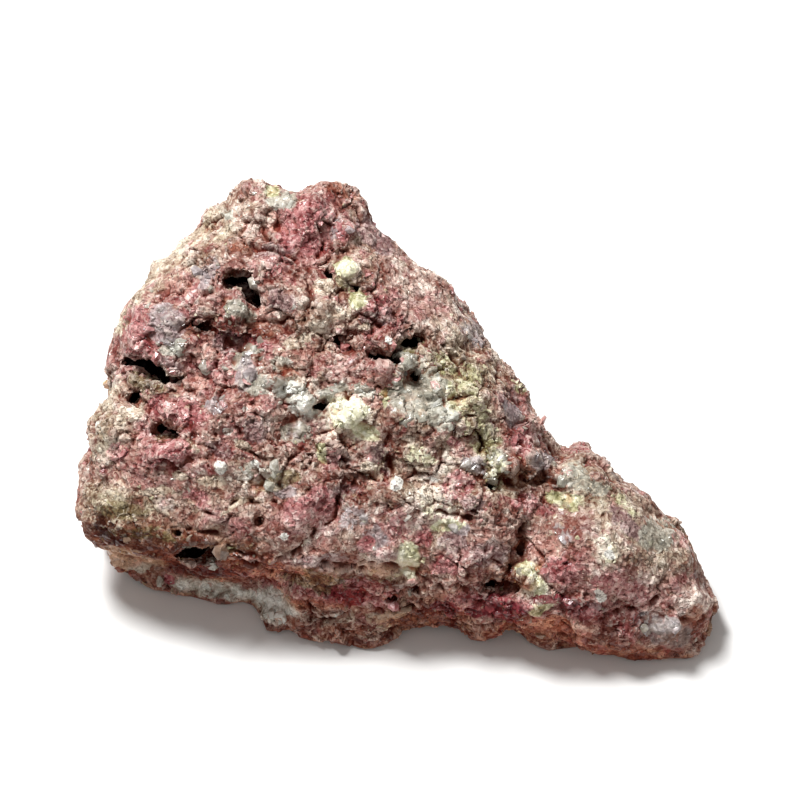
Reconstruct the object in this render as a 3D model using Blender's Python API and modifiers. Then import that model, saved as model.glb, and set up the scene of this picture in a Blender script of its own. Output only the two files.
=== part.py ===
"""Piemontite specimen: one hand-sized lump of granular pink rock, lying on its broken base.

Units are metres with +Z up, and the origin is under the middle of the lump, on the surface
that it rests on. Sizes below are in millimetres.

The lump has one broad broken face, which leans back from the front edge to the crown.
Places on that face are given as across (to the right), up (the slope) and out (of the rock),
measured from the middle of the face. Places on the back and the base are plain x, y, z.
"""

import math

import bmesh
import bpy
from mathutils import Euler, Matrix, Vector, noise
from mathutils.bvhtree import BVHTree

NODE = "piemontite_rock"
MM = 0.001

# Driving dimensions
FACE_LEAN = math.radians(35)  # slope of the broad face, off the horizontal
FACE_MIDDLE = (0.0, -7.2, 23.4)  # where the middle of the broad face is
GRAIN_SIZE = 0.8  # the mesh is remade at this size before it is carved
FINE_SIZE = 0.5  # and at this size once it is carved
TRIANGLES = 9700  # of the finished lump, about
FLAT_WITHIN = 0.03  # the height above the resting plane that counts as part of it
SETTLE = (0.1, 0.3, -0.7)  # puts the finished lump over the origin, and flattens its lowest lumps

# The lump is a union of convex blocks, as the rock broke along its joints.
# "face" corners are (across, up, out); "body" corners are (x, y, z).
BLOCKS = {
    "crown": {
        "face": [
            (-16.4, 26.4, -8), (-20.8, 23.4, -8), (-24.2, 18.9, -8), (-30.2, 14.6, -8), (-32.2, 5.6, -8),
            (-5.6, 26.4, -8), (-2.9, 22.8, -8), (0.7, 19.0, -8), (8.9, 11.2, -7), (15.0, 2.2, -7),
            (17.2, -5.0, -8), (-15.5, 23.6, -3.2), (-22.3, 17.0, -2.7), (-27.6, 12.1, -2.2),
            (-31.0, 4.4, -2.7), (-8.0, 23.0, -3.4), (-2.0, 15.5, -1.7), (5.3, 8.5, -1.2),
            (11.3, 0.5, -1.4), (14.5, -5.0, -2.4), (-12.0, 10.0, 1.0), (-2.0, -4.0, 1.4),
            (-20.0, -2.0, 0.6),
        ],
        "body": [
            (-33, 2, 2), (-27, 13, 1), (-17, 22.5, 0), (-5, 24, 0), (8, 16.5, 0), (16.5, 6, 0),
            (-30, -6, 0), (12, -10, 0), (-6, 22.5, 14), (4, 18, 13),
        ],
    },
    "shoulder": {
        "face": [
            (-32.4, 2.6, -8), (-35.0, -1.9, -8), (-36.2, -6.8, -8), (-36.2, -9.2, -7.5),
            (-35.5, -12.3, -6.5), (-33.0, -1.5, -3.2), (-34.2, -9.0, -2.8), (-33.3, -11.7, -2.6),
            (-26.8, -12.9, -1.4), (-21.7, -14.2, -1.0), (-12.2, -16.0, -1.0), (-9.0, -17.3, -1.5),
            (-6.0, -4.0, 1.4), (-21.0, -2.0, 0.5), (-29.5, 3.0, -2.0),
        ],
        "body": [(-33, -13, 4.8), (-31.5, -11.6, 1), (-33.5, -3, 1), (-31, 4, 0), (-12, -15, 0)],
    },
    "middle": {
        "face": [(-24, -8, -2), (8, -8, -2), (10, 2, -3), (-24, 10, -3), (-8, 18, -5)],
        "body": [(-26, -8, 0), (10, -10, 0), (8, 10, 0), (-24, 9, 0), (-8, 19, 0)],
    },
    "belly": {
        "face": [
            (-9.5, -17.3, -1.5), (2.5, -17.3, -1.2), (10.6, -19.2, -1.8), (14.2, -16.0, -1.6),
            (13.8, -9.0, -1.2), (14.6, -6.6, -2.0), (11.5, -4.0, -1.0), (-5.0, -4.0, 1.4), (-12.0, -10.0, 0.8),
            (6.0, -11.0, 0.4),
        ],
        "body": [
            (-13, -18.2, 0), (-6, -20.6, 0), (3.6, -18.6, 0), (10.0, -19.4, 0), (16, -12, 0), (-12, -6, 0),
        ],
    },
    "front_lip": {
        "face": [],
        "body": [
            (-13.5, -20.0, 0), (-5.4, -23.5, 0), (2.4, -20.2, 0), (-12.5, -18.4, 5.5),
            (-7, -21.8, 4.8), (3, -20.6, 3.4), (-4, -12, 0),
        ],
    },
    "keel": {
        "face": [(4.0, -20.2, -4.0), (11.0, -21.4, -3.4), (18.5, -22.0, -3.2), (12.0, -17.5, -2.2)],
        "body": [(5.4, -18.6, 0), (10.4, -21.2, 0), (18.2, -22.0, 0), (16, -10, 0), (6, -10, 0)],
    },
    "toe": {
        "face": [
            (20.6, -4.4, -8), (27.8, -7.6, -8), (32.8, -12.6, -8), (34.0, -16.3, -8), (35.4, -20.4, -8.5),
            (34.9, -22.8, -9.5), (20.0, -6.5, -4.0), (26.0, -9.8, -3.2), (31.0, -14.2, -4.0),
            (33.5, -19.3, -5.0), (31.0, -23.0, -5.2), (24.0, -22.0, -2.2), (16.0, -20.8, -2.6),
            (14.0, -17.0, -1.4), (14.4, -10.0, -1.6), (15.8, -6.0, -2.8), (18.0, -7.6, -2.6), (22.0, -15.0, 0.3),
        ],
        "body": [
            (16, -20.9, 0), (28.5, -24.9, 0), (32.8, -24.2, 0), (34.4, -15, 1), (28.6, -4, 0),
            (17, 4, 0), (12, -10, 0),
        ],
    },
    "knob": {
        "face": [
            (18.6, -4.7, -5.0), (19.8, -3.2, -5.5), (21.9, -2.8, -6.5), (23.2, -4.8, -7.0),
            (24.5, -7.8, -4.5), (20.0, -8.5, -2.6), (17.8, -7.0, -3.0), (21.0, -5.5, -3.6),
        ],
        "body": [(20, 1, 8), (22, -2, 6)],
    },
    "quartz_slab": {
        "face": [],
        "body": [
            (-32.9, -13.7, 4.4), (-33.0, -13.8, 1.2), (-27.9, -12.2, 0), (-25.8, -15.6, 0),
            (-18.9, -17.3, 0), (-16.5, -17.2, 0), (-17, -15.2, 5.2), (-27, -13.7, 5.2),
            (-30, -7, 0), (-17, -9, 0),
        ],
    },
    "quartz_lump": {
        "face": [],
        "body": [
            (-16.6, -17.6, 0.2), (-16.4, -17.4, 3.4), (-14.6, -21.6, 0), (-14.4, -20.8, 2.6),
            (-11.5, -21.4, 0), (-12, -19.2, 4.4), (-13, -12, 1),
        ],
    },
    "left_horn": {
        "face": [
            (-19.6, 24.2, -7.5), (-16.6, 27.0, -8.0), (-13.9, 26.4, -8.0), (-12.8, 24.2, -7.0),
            (-15.8, 25.4, -3.6),
        ],
        "body": [(-16, 16, 24)],
    },
    "right_horn": {
        "face": [
            (-10.4, 25.2, -7.0), (-9.0, 27.2, -8.0), (-5.2, 27.4, -8.0), (-3.8, 25.4, -7.5),
            (-7.5, 25.6, -3.8),
        ],
        "body": [(-7, 16, 24)],
    },
}

# Open hollows in the broken face: middle (across, up), size (long, wide, deep) and turn in degrees.
HOLLOWS = {
    "crown_cave": {"at": (-16.4, 13.9), "size": (6.4, 2.8, 7.0), "turn": -38},
    "crown_cave_left": {"at": (-17.9, 15.2), "size": (3.0, 2.4, 5.0), "turn": 10},
    "left_cave": {"at": (-26.8, 5.4), "size": (6.6, 2.6, 6.0), "turn": -24},
    "left_cave_low": {"at": (-28.8, 2.2), "size": (2.8, 2.0, 4.0), "turn": 60},
    "eye": {"at": (-25.0, -1.4), "size": (4.2, 1.9, 5.0), "turn": -5},
    "quartz_cave": {"at": (1.2, 8.4), "size": (3.4, 2.4, 6.0), "turn": 20},
    "quartz_cave_low": {"at": (1.8, 4.9), "size": (2.2, 1.8, 4.0), "turn": 20},
    "quartz_cave_tail": {"at": (-2.4, 6.8), "size": (3.4, 1.7, 4.5), "turn": -8},
    "middle_pit": {"at": (-6.2, 7.8), "size": (2.4, 1.6, 3.0), "turn": -30},
    "quartz_pit": {"at": (-7.9, 1.7), "size": (2.8, 1.6, 3.5), "turn": 20},
    "slot": {"at": (-7.1, -2.9), "size": (2.8, 1.3, 3.0), "turn": -45},
    "right_pit": {"at": (10.1, -7.2), "size": (2.0, 1.5, 4.0), "turn": 10},
    "ledge_cave": {"at": (-21.4, -14.6), "size": (5.6, 2.4, 5.0), "turn": 12},
    "red_slot": {"at": (11.6, -18.4), "size": (5.0, 1.6, 4.0), "turn": 8},
    "cleft_low": {"at": (13.2, -14.6), "size": (3.2, 1.3, 3.0), "turn": 74},
    "crown_pit": {"at": (-14.0, 21.2), "size": (2.6, 1.5, 2.5), "turn": 0},
    "epidote_pit": {"at": (-4.4, 14.4), "size": (3.0, 1.4, 2.6), "turn": -10},
    "shelf_pit": {"at": (-20.6, 10.4), "size": (3.6, 1.5, 2.6), "turn": -20},
    "low_pit": {"at": (-15.0, -11.0), "size": (1.7, 2.0, 3.0), "turn": 0},
}

# Crevices across the broken face: a path (across, up), its depth and its half width.
CREVICES = {
    "toe_joint": {"path": [(19.0, -4.6), (15.2, -6.6), (11.4, -7.6)], "deep": 0.8, "wide": 0.6},
    "toe_joint_low": {"path": [(14.0, -11.6), (13.0, -15.8), (10.0, -18.6)], "deep": 1.5, "wide": 0.9},
    "plate_edge": {
        "path": [(-1.2, -1.8), (-0.9, -5.1), (-6.6, -8.1), (-7.1, -10.3), (-11.0, -14.3)],
        "deep": 1.1, "wide": 0.8,
    },
    "mid_crevice": {"path": [(-18.6, 9.4), (-17.4, 7.4), (-14.4, 6.4)], "deep": 1.3, "wide": 0.9},
    "shelf": {"path": [(-23.0, 8.0), (-20.0, 4.6), (-20.4, 0.0)], "deep": 0.9, "wide": 0.9},
    "right_shelf": {"path": [(2.6, 7.0), (6.6, 7.2), (9.6, 3.0)], "deep": 0.9, "wide": 1.0},
}

# Smoother, weathered places on the face: middle (across, up) and reach.
WORN = [((-25.0, -8.5), 8.0), ((-12.0, -12.5), 6.0), ((24.0, -13.5), 9.0), ((3.0, 14.5), 7.0)]
WORN_SHARE = 0.5  # of the lumps that is left there

# The dips between the patches that it rests on: they start behind the front edge.
UNDERSIDE = {"wave": 11.0, "height": 5.0, "share": -0.04, "reach": 6.0, "front": -15.0}

# Crystals with flat faces that stand out of the surface: place, size (long, wide, high), how far
# the middle stands above the surface, and turn.
CRYSTALS = {
    "rose_block": {"at": (-9.4, 21.4), "size": (6.4, 3.0, 3.6), "stand": -0.7, "turn": 78},
    "rose_block_small": {"at": (-5.6, 20.6), "size": (3.4, 2.4, 2.8), "stand": -0.6, "turn": 30},
    "quartz_in_crown": {"at": (-17.6, 11.9), "size": (4.0, 2.8, 3.2), "stand": -0.3, "turn": -30},
    "crown_cave_sprig": {"at": (-17.4, 14.0), "size": (1.8, 1.4, 2.6), "stand": -0.2, "turn": 20},
    "quartz_left_a": {"at": (-24.6, 10.4), "size": (3.4, 2.6, 2.6), "stand": -0.6, "turn": 15},
    "quartz_left_b": {"at": (-22.6, 8.2), "size": (3.0, 2.4, 2.4), "stand": -0.4, "turn": 70},
    "epidote_bead": {"at": (-5.4, 16.6), "size": (2.8, 2.4, 3.0), "stand": 0.1, "turn": 40},
    "epidote_patch": {"at": (-5.2, 0.3), "size": (4.2, 3.0, 3.0), "stand": -0.6, "turn": 60},
    "quartz_middle_a": {"at": (-13.6, 4.4), "size": (3.0, 2.6, 2.8), "stand": -0.3, "turn": 25},
    "quartz_middle_b": {"at": (-10.6, 2.2), "size": (3.6, 2.8, 2.8), "stand": -0.3, "turn": -15},
    "quartz_middle_c": {"at": (-9.0, -0.8), "size": (2.6, 2.2, 2.2), "stand": -0.4, "turn": 50},
    "quartz_cave_spur": {"at": (1.0, 6.2), "size": (2.6, 2.0, 3.4), "stand": 0.2, "turn": 10},
    "quartz_field_a": {"at": (3.2, 2.8), "size": (4.4, 3.4, 3.2), "stand": -0.7, "turn": 35},
    "quartz_field_b": {"at": (5.4, 0.2), "size": (3.8, 3.0, 2.8), "stand": -0.7, "turn": -25},
    "epidote_right": {"at": (8.4, 2.2), "size": (3.4, 2.8, 3.0), "stand": -0.5, "turn": 75},
    "rose_brow": {"at": (-24.4, -3.7), "size": (5.2, 2.2, 2.8), "stand": -0.3, "turn": 12},
    "rose_lip": {"at": (-24.2, 0.9), "size": (4.6, 2.2, 2.8), "stand": -0.4, "turn": -12},
    "right_cluster_a": {"at": (12.0, -5.0), "size": (2.6, 2.2, 2.8), "stand": -0.2, "turn": 20},
    "right_cluster_b": {"at": (14.8, -3.6), "size": (3.0, 2.4, 3.0), "stand": -0.2, "turn": -35},
    "right_cluster_c": {"at": (14.0, -0.4), "size": (2.8, 2.4, 2.6), "stand": -0.3, "turn": 65},
    "green_in_cleft": {"at": (14.2, -16.9), "size": (3.2, 2.2, 3.0), "stand": -0.1, "turn": 80},
    "olive_in_cleft": {"at": (15.2, -20.0), "size": (2.6, 1.6, 2.0), "stand": -0.3, "turn": 30},
    "quartz_knob_a": {"at": (18.4, -6.6), "size": (3.2, 2.6, 2.6), "stand": -0.5, "turn": 20},
    "quartz_knob_b": {"at": (22.0, -6.4), "size": (3.0, 2.2, 2.6), "stand": -0.5, "turn": -50},
    "quartz_toe": {"at": (30.0, -22.6), "size": (4.4, 3.0, 3.0), "stand": -0.6, "turn": 15},
    "white_speck": {"at": (-19.3, -5.1), "size": (1.6, 1.4, 1.6), "stand": 0.0, "turn": 0},
    "quartz_top": {"at": (-12.6, 23.4), "size": (3.2, 2.6, 2.8), "stand": -0.6, "turn": 30},
}

# Lumps of the broken surface, largest first: wavelength and height.
SWELLS = [{"wave": 11.0, "height": 1.0}, {"wave": 5.0, "height": 0.8}]
CLUSTERS = [{"wave": 6.4, "height": 2.0}, {"wave": 3.3, "height": 1.5}]
CARVE_SEED = Vector((3.7, 1.9, 8.3))


def on_face(across, up, out):
    """A point given on the broad face, in metres."""
    lean_sin, lean_cos = math.sin(FACE_LEAN), math.cos(FACE_LEAN)
    x, y, z = FACE_MIDDLE
    return Vector((x + across, y + up * lean_cos - out * lean_sin, z + up * lean_sin + out * lean_cos)) * MM


def from_face(point):
    """The reverse: across, up and out of a point in metres."""
    lean_sin, lean_cos = math.sin(FACE_LEAN), math.cos(FACE_LEAN)
    x, y, z = point / MM - Vector(FACE_MIDDLE)
    return x, y * lean_cos + z * lean_sin, z * lean_cos - y * lean_sin


def face_turn(turn):
    """The rotation that lays a thing on the broad face, turned by this many degrees on it."""
    return Euler((FACE_LEAN, 0, 0)).to_matrix() @ Euler((0, 0, math.radians(turn))).to_matrix()


def outwards():
    """The direction out of the broad face."""
    return (on_face(0, 0, 1) - on_face(0, 0, 0)).normalized()


def clear_scene():
    for obj in list(bpy.data.objects):
        bpy.data.objects.remove(obj, do_unlink=True)


def new_collection(name):
    made = bpy.data.collections.new(name)
    bpy.context.scene.collection.children.link(made)
    return made


def evaluated_mesh(obj, name):
    """The object's mesh with its modifiers applied."""
    bpy.context.view_layer.update()
    graph = bpy.context.evaluated_depsgraph_get()
    mesh = bpy.data.meshes.new_from_object(obj.evaluated_get(graph))
    mesh.name = name
    return mesh


def stone_material():
    stone = bpy.data.materials.new("piemontite_stone")
    stone.use_nodes = True
    shader = stone.node_tree.nodes["Principled BSDF"]
    shader.inputs["Base Color"].default_value = (0.42, 0.19, 0.17, 1.0)
    shader.inputs["Roughness"].default_value = 0.75
    shader.inputs["Metallic"].default_value = 0.0
    return stone


def add_hull(bm, corners):
    """The convex hull of the corners."""
    verts = [bm.verts.new(corner) for corner in corners]
    bmesh.ops.convex_hull(bm, input=verts)
    inside = [vert for vert in verts if vert.is_valid and not vert.link_faces]
    bmesh.ops.delete(bm, geom=inside, context="VERTS")


def block_mesh():
    bm = bmesh.new()
    for block in BLOCKS.values():
        corners = [on_face(*corner) for corner in block["face"]]
        corners += [Vector(corner) * MM for corner in block["body"]]
        add_hull(bm, corners)
    mesh = bpy.data.meshes.new("blocks")
    bm.to_mesh(mesh)
    bm.free()
    return mesh


def add_hollow(bm, middle, size, turn):
    """An angular closed lump: an icosphere whose points are pushed in and out."""
    made = bmesh.ops.create_icosphere(bm, subdivisions=3, radius=1.0)
    for vert in made["verts"]:
        place = vert.co * 1.3 + middle / MM + CARVE_SEED
        push = 1 + 0.55 * noise.noise(place) + 0.3 * noise.noise(place * 2.3)
        vert.co = middle + turn @ Vector(c * s / 2 * MM for c, s in zip(vert.co * push, size))


def add_crystal(bm, middle, size, turn, seed):
    """A blunt six-sided prism with unequal faces, standing tilted on the face."""
    corners = []
    for step in range(6):
        angle = math.radians(60 * step + 24 * noise.noise(Vector((seed, step, 0))))
        reach = 1 + 0.25 * noise.noise(Vector((step * 1.7, seed, 3)))
        x, y = math.cos(angle) * reach, math.sin(angle) * reach
        top = 1 + 0.5 * noise.noise(Vector((x, y, seed)))
        corners += [Vector((x, y, -1)), Vector((x, y, top * 0.45)), Vector((x * 0.55, y * 0.5, top))]
    tilt = Euler((0.5 * noise.noise(Vector((seed, 7, 1))), 0.5 * noise.noise(Vector((seed, 1, 7))), 0))
    lay = turn @ tilt.to_matrix()
    add_hull(bm, [middle + lay @ Vector(c * s / 2 * MM for c, s in zip(corner, size)) for corner in corners])


def surface_under(tree, across, up):
    """Where a straight line in through the broad face at this place meets the rock."""
    hit = tree.ray_cast(on_face(across, up, 40), -outwards())[0]
    return hit if hit else on_face(across, up, 0)


def distance_to_path(across, up, path):
    """The distance on the face from a place to a path."""
    here = Vector((across, up))
    least = 1e9
    for start, end in zip(path, path[1:]):
        a, b = Vector(start), Vector(end)
        share = max(0, min(1, (here - a).dot(b - a) / (b - a).length_squared))
        least = min(least, (here - a.lerp(b, share)).length)
    return least


def carve(mesh):
    """Pushes the surface out in swells and clusters, and in along the crevices."""
    mesh.update()
    places = []
    for vert in mesh.vertices:
        place = vert.co / MM
        across, up, out = from_face(vert.co)
        worn = 0.0
        for middle, reach in WORN:
            worn = max(worn, 1 - (Vector((across, up)) - Vector(middle)).length / reach)
        worn = min(1, worn * 2.5) if out > -7 else 0.0
        push = sum(swell["height"] * noise.noise(place / swell["wave"] + CARVE_SEED) for swell in SWELLS)
        for cluster in CLUSTERS:
            nearest = noise.voronoi(place / cluster["wave"] + CARVE_SEED)[0][0]
            push += cluster["height"] * (0.45 - nearest) * (1 - worn * (1 - WORN_SHARE))
        if out > -6:
            for crevice in CREVICES.values():
                away = distance_to_path(across, up, crevice["path"]) / crevice["wide"]
                push -= crevice["deep"] * math.exp(-away * away)
        places.append(vert.co + (vert.normal * push + Vector((0, 0, dip_under(place)))) * MM)
    for vert, place in zip(mesh.vertices, places):
        vert.co = place


def dip_under(place):
    """How far the underside is raised here, away from the front edge and from the resting patches."""
    low = max(0.0, 1 - place.z / UNDERSIDE["reach"])
    back = max(0.0, min(1.0, (place.y - UNDERSIDE["front"]) / 5))
    dip = noise.noise(place / UNDERSIDE["wave"] + CARVE_SEED) + UNDERSIDE["share"]
    return UNDERSIDE["height"] * max(0.0, dip) * low * back


def remade(mesh, name, size, smooth_steps):
    """The mesh made again in even quads of this size, which joins what overlaps."""
    obj = bpy.data.objects.new(name, mesh)
    bpy.context.scene.collection.objects.link(obj)
    remesh = obj.modifiers.new("remesh", "REMESH")
    remesh.mode = "VOXEL"
    remesh.voxel_size = size * MM
    if smooth_steps:
        smooth = obj.modifiers.new("wear", "SMOOTH")
        smooth.factor = 0.5
        smooth.iterations = smooth_steps
    made = evaluated_mesh(obj, name)
    bpy.data.objects.remove(obj)
    return made


def make_cutter(name, mesh, collection):
    cutter = bpy.data.objects.new(name, mesh)
    collection.objects.link(cutter)
    cutter.hide_render = True
    cutter.display_type = "WIRE"
    return cutter


def hollow_cutter(tree, collection):
    """One mesh of all the hollows, each sunk in the surface at its place."""
    bm = bmesh.new()
    for hollow in HOLLOWS.values():
        middle = surface_under(tree, *hollow["at"]) - outwards() * hollow["size"][2] * 0.22 * MM
        add_hollow(bm, middle, hollow["size"], face_turn(hollow["turn"]))
    mesh = bpy.data.meshes.new("hollows")
    bm.to_mesh(mesh)
    bm.free()
    return make_cutter("hollows", remade(mesh, "hollows", 0.4, 0), collection)


def crystal_joiner(tree, collection):
    """One mesh of all the crystals, each set in the surface at its place."""
    bm = bmesh.new()
    for number, crystal in enumerate(CRYSTALS.values()):
        middle = surface_under(tree, *crystal["at"]) + outwards() * crystal["stand"] * MM
        add_crystal(bm, middle, crystal["size"], face_turn(crystal["turn"]), number * 3.1 + 0.5)
    mesh = bpy.data.meshes.new("crystals")
    bm.to_mesh(mesh)
    bm.free()
    return make_cutter("crystals", mesh, collection)


def base_cutter(collection):
    """A slab under the lump, which leaves the flat patches that it rests on."""
    bm = bmesh.new()
    bmesh.ops.create_cube(bm, size=0.12, matrix=Matrix.Translation((0, 0, -0.06)))
    mesh = bpy.data.meshes.new("base_plane")
    bm.to_mesh(mesh)
    bm.free()
    return make_cutter("base_plane", mesh, collection)


def combine(obj, other, operation):
    boolean = obj.modifiers.new(other.name, "BOOLEAN")
    boolean.operation = operation
    boolean.object = other
    boolean.use_self = operation == "UNION"  # as some crystals overlap each other


def settle_base(mesh):
    """Makes the resting patches exactly flat."""
    for vert in mesh.vertices:
        if vert.co.z < FLAT_WITHIN * MM:
            vert.co.z = 0


def build():
    clear_scene()
    specimen = new_collection("piemontite_specimen")
    cutters = new_collection("cutters")

    body = remade(block_mesh(), "body", GRAIN_SIZE, 2)
    carve(body)
    body = remade(body, NODE, GRAIN_SIZE, 0)
    tree = BVHTree.FromPolygons([v.co for v in body.vertices], [tuple(p.vertices) for p in body.polygons])

    rock = bpy.data.objects.new(NODE, body)
    specimen.objects.link(rock)
    rock.data.materials.append(stone_material())
    hollows = hollow_cutter(tree, cutters)
    crystals = crystal_joiner(tree, cutters)
    for mesh in (body, hollows.data, crystals.data):
        mesh.transform(Matrix.Translation(Vector(SETTLE) * MM))
    combine(rock, hollows, "DIFFERENCE")
    combine(rock, crystals, "UNION")
    rock.data = remade(evaluated_mesh(rock, "joined"), "joined", FINE_SIZE, 0)
    rock.modifiers.clear()
    combine(rock, base_cutter(cutters), "DIFFERENCE")
    rock.modifiers.new("triangles", "TRIANGULATE")
    rock.data = evaluated_mesh(rock, "whole")
    rock.modifiers.clear()
    decimate = rock.modifiers.new("fewer_faces", "DECIMATE")
    decimate.ratio = min(1.0, TRIANGLES / len(rock.data.polygons))
    rock.data = evaluated_mesh(rock, NODE)
    rock.modifiers.clear()
    settle_base(rock.data)


build()
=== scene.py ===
import math

import bmesh
import bpy
import numpy as np
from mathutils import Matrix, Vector, noise
from mathutils.bvhtree import BVHTree


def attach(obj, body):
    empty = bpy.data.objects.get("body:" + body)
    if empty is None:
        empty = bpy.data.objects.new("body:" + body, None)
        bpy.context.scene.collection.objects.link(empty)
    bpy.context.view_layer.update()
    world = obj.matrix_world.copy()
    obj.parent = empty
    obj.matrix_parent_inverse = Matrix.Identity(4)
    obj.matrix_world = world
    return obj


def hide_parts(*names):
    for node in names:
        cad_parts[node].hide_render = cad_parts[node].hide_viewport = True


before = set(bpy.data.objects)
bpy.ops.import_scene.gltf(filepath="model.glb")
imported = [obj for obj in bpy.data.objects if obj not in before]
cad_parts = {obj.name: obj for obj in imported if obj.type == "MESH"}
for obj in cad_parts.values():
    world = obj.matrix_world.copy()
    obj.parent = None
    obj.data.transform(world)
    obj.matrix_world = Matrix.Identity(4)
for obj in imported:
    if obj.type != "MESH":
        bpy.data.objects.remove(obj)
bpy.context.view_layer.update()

scene = bpy.context.scene
mm = 0.001


# Small helpers for node trees

class Wire:
    # one socket, so that sums on it read as plain sums
    def __init__(self, tree, socket):
        self.tree = tree
        self.socket = socket

    def maths(self, operation, *terms):
        return make(self.tree, "ShaderNodeMath", {"operation": operation}, dict(enumerate(terms)))

    def __add__(self, other):
        return self.maths("ADD", self, other)

    def __radd__(self, other):
        return self.maths("ADD", other, self)

    def __sub__(self, other):
        return self.maths("SUBTRACT", self, other)

    def __rsub__(self, other):
        return self.maths("SUBTRACT", other, self)

    def __mul__(self, other):
        return self.maths("MULTIPLY", self, other)

    def __rmul__(self, other):
        return self.maths("MULTIPLY", other, self)

    def __truediv__(self, other):
        return self.maths("DIVIDE", self, other)

    def __rtruediv__(self, other):
        return self.maths("DIVIDE", other, self)

    def __pow__(self, other):
        return self.maths("POWER", self, other)

    def atLeast(self, other):
        return self.maths("MAXIMUM", self, other)

    def ramp(self, low, high):
        # 0 at low, 1 at high, eased between
        settings = {"interpolation_type": "SMOOTHSTEP"}
        return make(self.tree, "ShaderNodeMapRange", settings, {0: self, 1: low, 2: high, 3: 0.0, 4: 1.0})

    def out(self, name):
        return Wire(self.tree, self.socket.node.outputs[name])


def make(tree, kind, settings=None, sockets=None, output=0):
    # any node: its type, its settings, then the values or links of its sockets
    node = tree.nodes.new(kind)
    node.location = (len(tree.nodes) % 12 * 180, -(len(tree.nodes) // 12) * 260)
    for name, value in (settings or {}).items():
        if name == "stops":
            setStops(node.color_ramp, value)
        else:
            setattr(node, name, value)
    for name, value in (sockets or {}).items():
        socket = node.inputs[name] if isinstance(name, int) else socketNamed(node, name)
        if isinstance(value, list):
            for part in value:
                tree.links.new(part.socket, socket)
        elif isinstance(value, Wire):
            tree.links.new(value.socket, socket)
        else:
            socket.default_value = value
    return Wire(tree, node.outputs[output])


def setStops(ramp, stops):
    for place, (position, colour) in enumerate(stops):
        stop = ramp.elements[place] if place < 2 else ramp.elements.new(position)
        stop.position = position
        stop.color = (*colour, 1.0)


def socketNamed(node, name):
    for socket in node.inputs:
        if socket.identifier == name:
            return socket
    return node.inputs[name]


def mixColours(factor, first, second, blend="MIX"):
    tree = next(part.tree for part in (factor, first, second) if isinstance(part, Wire))
    settings = {"data_type": "RGBA", "blend_type": blend, "clamp_result": False}
    sockets = {"Factor_Float": factor, "A_Color": asColour(first), "B_Color": asColour(second)}
    return make(tree, "ShaderNodeMix", settings, sockets, 2)


def asColour(value):
    return value if isinstance(value, Wire) else (*value, 1.0)


def vectorMaths(tree, operation, *terms):
    sockets = dict(enumerate(terms))
    if operation == "SCALE":
        sockets[3] = sockets.pop(1)  # its factor is the fourth socket
    return make(tree, "ShaderNodeVectorMath", {"operation": operation}, sockets)


def dotProduct(first, second):
    return vectorMaths(first.tree, "DOT_PRODUCT", first, second).out("Value")


def newGeometryTree(name, inputs):
    # a tree with one geometry in and out, and named number inputs
    tree = bpy.data.node_groups.new(name, "GeometryNodeTree")
    tree.interface.new_socket("Geometry", in_out="OUTPUT", socket_type="NodeSocketGeometry")
    tree.interface.new_socket("Geometry", in_out="INPUT", socket_type="NodeSocketGeometry")
    for label, value in inputs.items():
        kind = "NodeSocketInt" if isinstance(value, int) else "NodeSocketFloat"
        tree.interface.new_socket(label, in_out="INPUT", socket_type=kind)
    group = tree.nodes.new("NodeGroupInput")
    return tree, {socket.name: Wire(tree, socket) for socket in group.outputs if socket.name}


def endTree(geometry):
    geometry.tree.links.new(geometry.socket, geometry.tree.nodes.new("NodeGroupOutput").inputs[0])
    return geometry.tree


def storeValue(geometry, name, value, kind="FLOAT", domain="POINT"):
    sockets = {"Geometry": geometry, "Name": name, "Value": value}
    settings = {"data_type": kind, "domain": domain}
    return make(geometry.tree, "GeometryNodeStoreNamedAttribute", settings, sockets)


# Small helpers for objects and meshes

def newObject(name, data):
    piece = bpy.data.objects.new(name, data)
    scene.collection.objects.link(piece)
    return piece


def runTree(mesh, tree, inputs, name):
    # the tree as a modifier on the mesh, its inputs set by identifier, then made a plain mesh
    piece = newObject(name, mesh)
    modifier = piece.modifiers.new(name, "NODES")
    modifier.node_group = tree
    for item in tree.interface.items_tree:
        if item.in_out == "INPUT" and item.name in inputs:
            modifier[item.identifier] = inputs[item.name]
    result = plainMesh(piece, name)
    piece.modifiers.clear()
    bpy.data.objects.remove(piece)
    return result


def plainMesh(piece, name):
    bpy.context.view_layer.update()
    graph = bpy.context.evaluated_depsgraph_get()
    mesh = bpy.data.meshes.new_from_object(piece.evaluated_get(graph))
    mesh.name = name
    return mesh


def modified(mesh, name, kind, weights=None, **settings):
    # the mesh after one modifier, which may act by each point's weight
    piece = newObject(name, mesh)
    modifier = piece.modifiers.new(name, kind)
    if weights is not None:
        group = piece.vertex_groups.new(name="weights")
        steps = np.round(np.clip(weights, 0, 1) * 8).astype(int)
        for step in range(1, 9):
            group.add(np.nonzero(steps == step)[0].tolist(), step / 8, "REPLACE")
        modifier.vertex_group = group.name
    for setting, value in settings.items():
        setattr(modifier, setting, value)
    result = plainMesh(piece, name)
    bpy.data.objects.remove(piece)
    return result


def readPoints(mesh):
    points = np.empty(len(mesh.vertices) * 3, np.float32)
    mesh.vertices.foreach_get("co", points)
    return points.reshape(-1, 3)


def writePoints(mesh, points):
    mesh.vertices.foreach_set("co", points.astype(np.float32).ravel())
    mesh.update()


def keepAboveFloor(mesh):
    points = readPoints(mesh)
    points[:, 2] = np.maximum(points[:, 2], 0)
    writePoints(mesh, points)


def readNormals(mesh):
    normals = np.empty(len(mesh.vertices) * 3, np.float32)
    mesh.vertex_normals.foreach_get("vector", normals)
    return normals.reshape(-1, 3)


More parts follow.
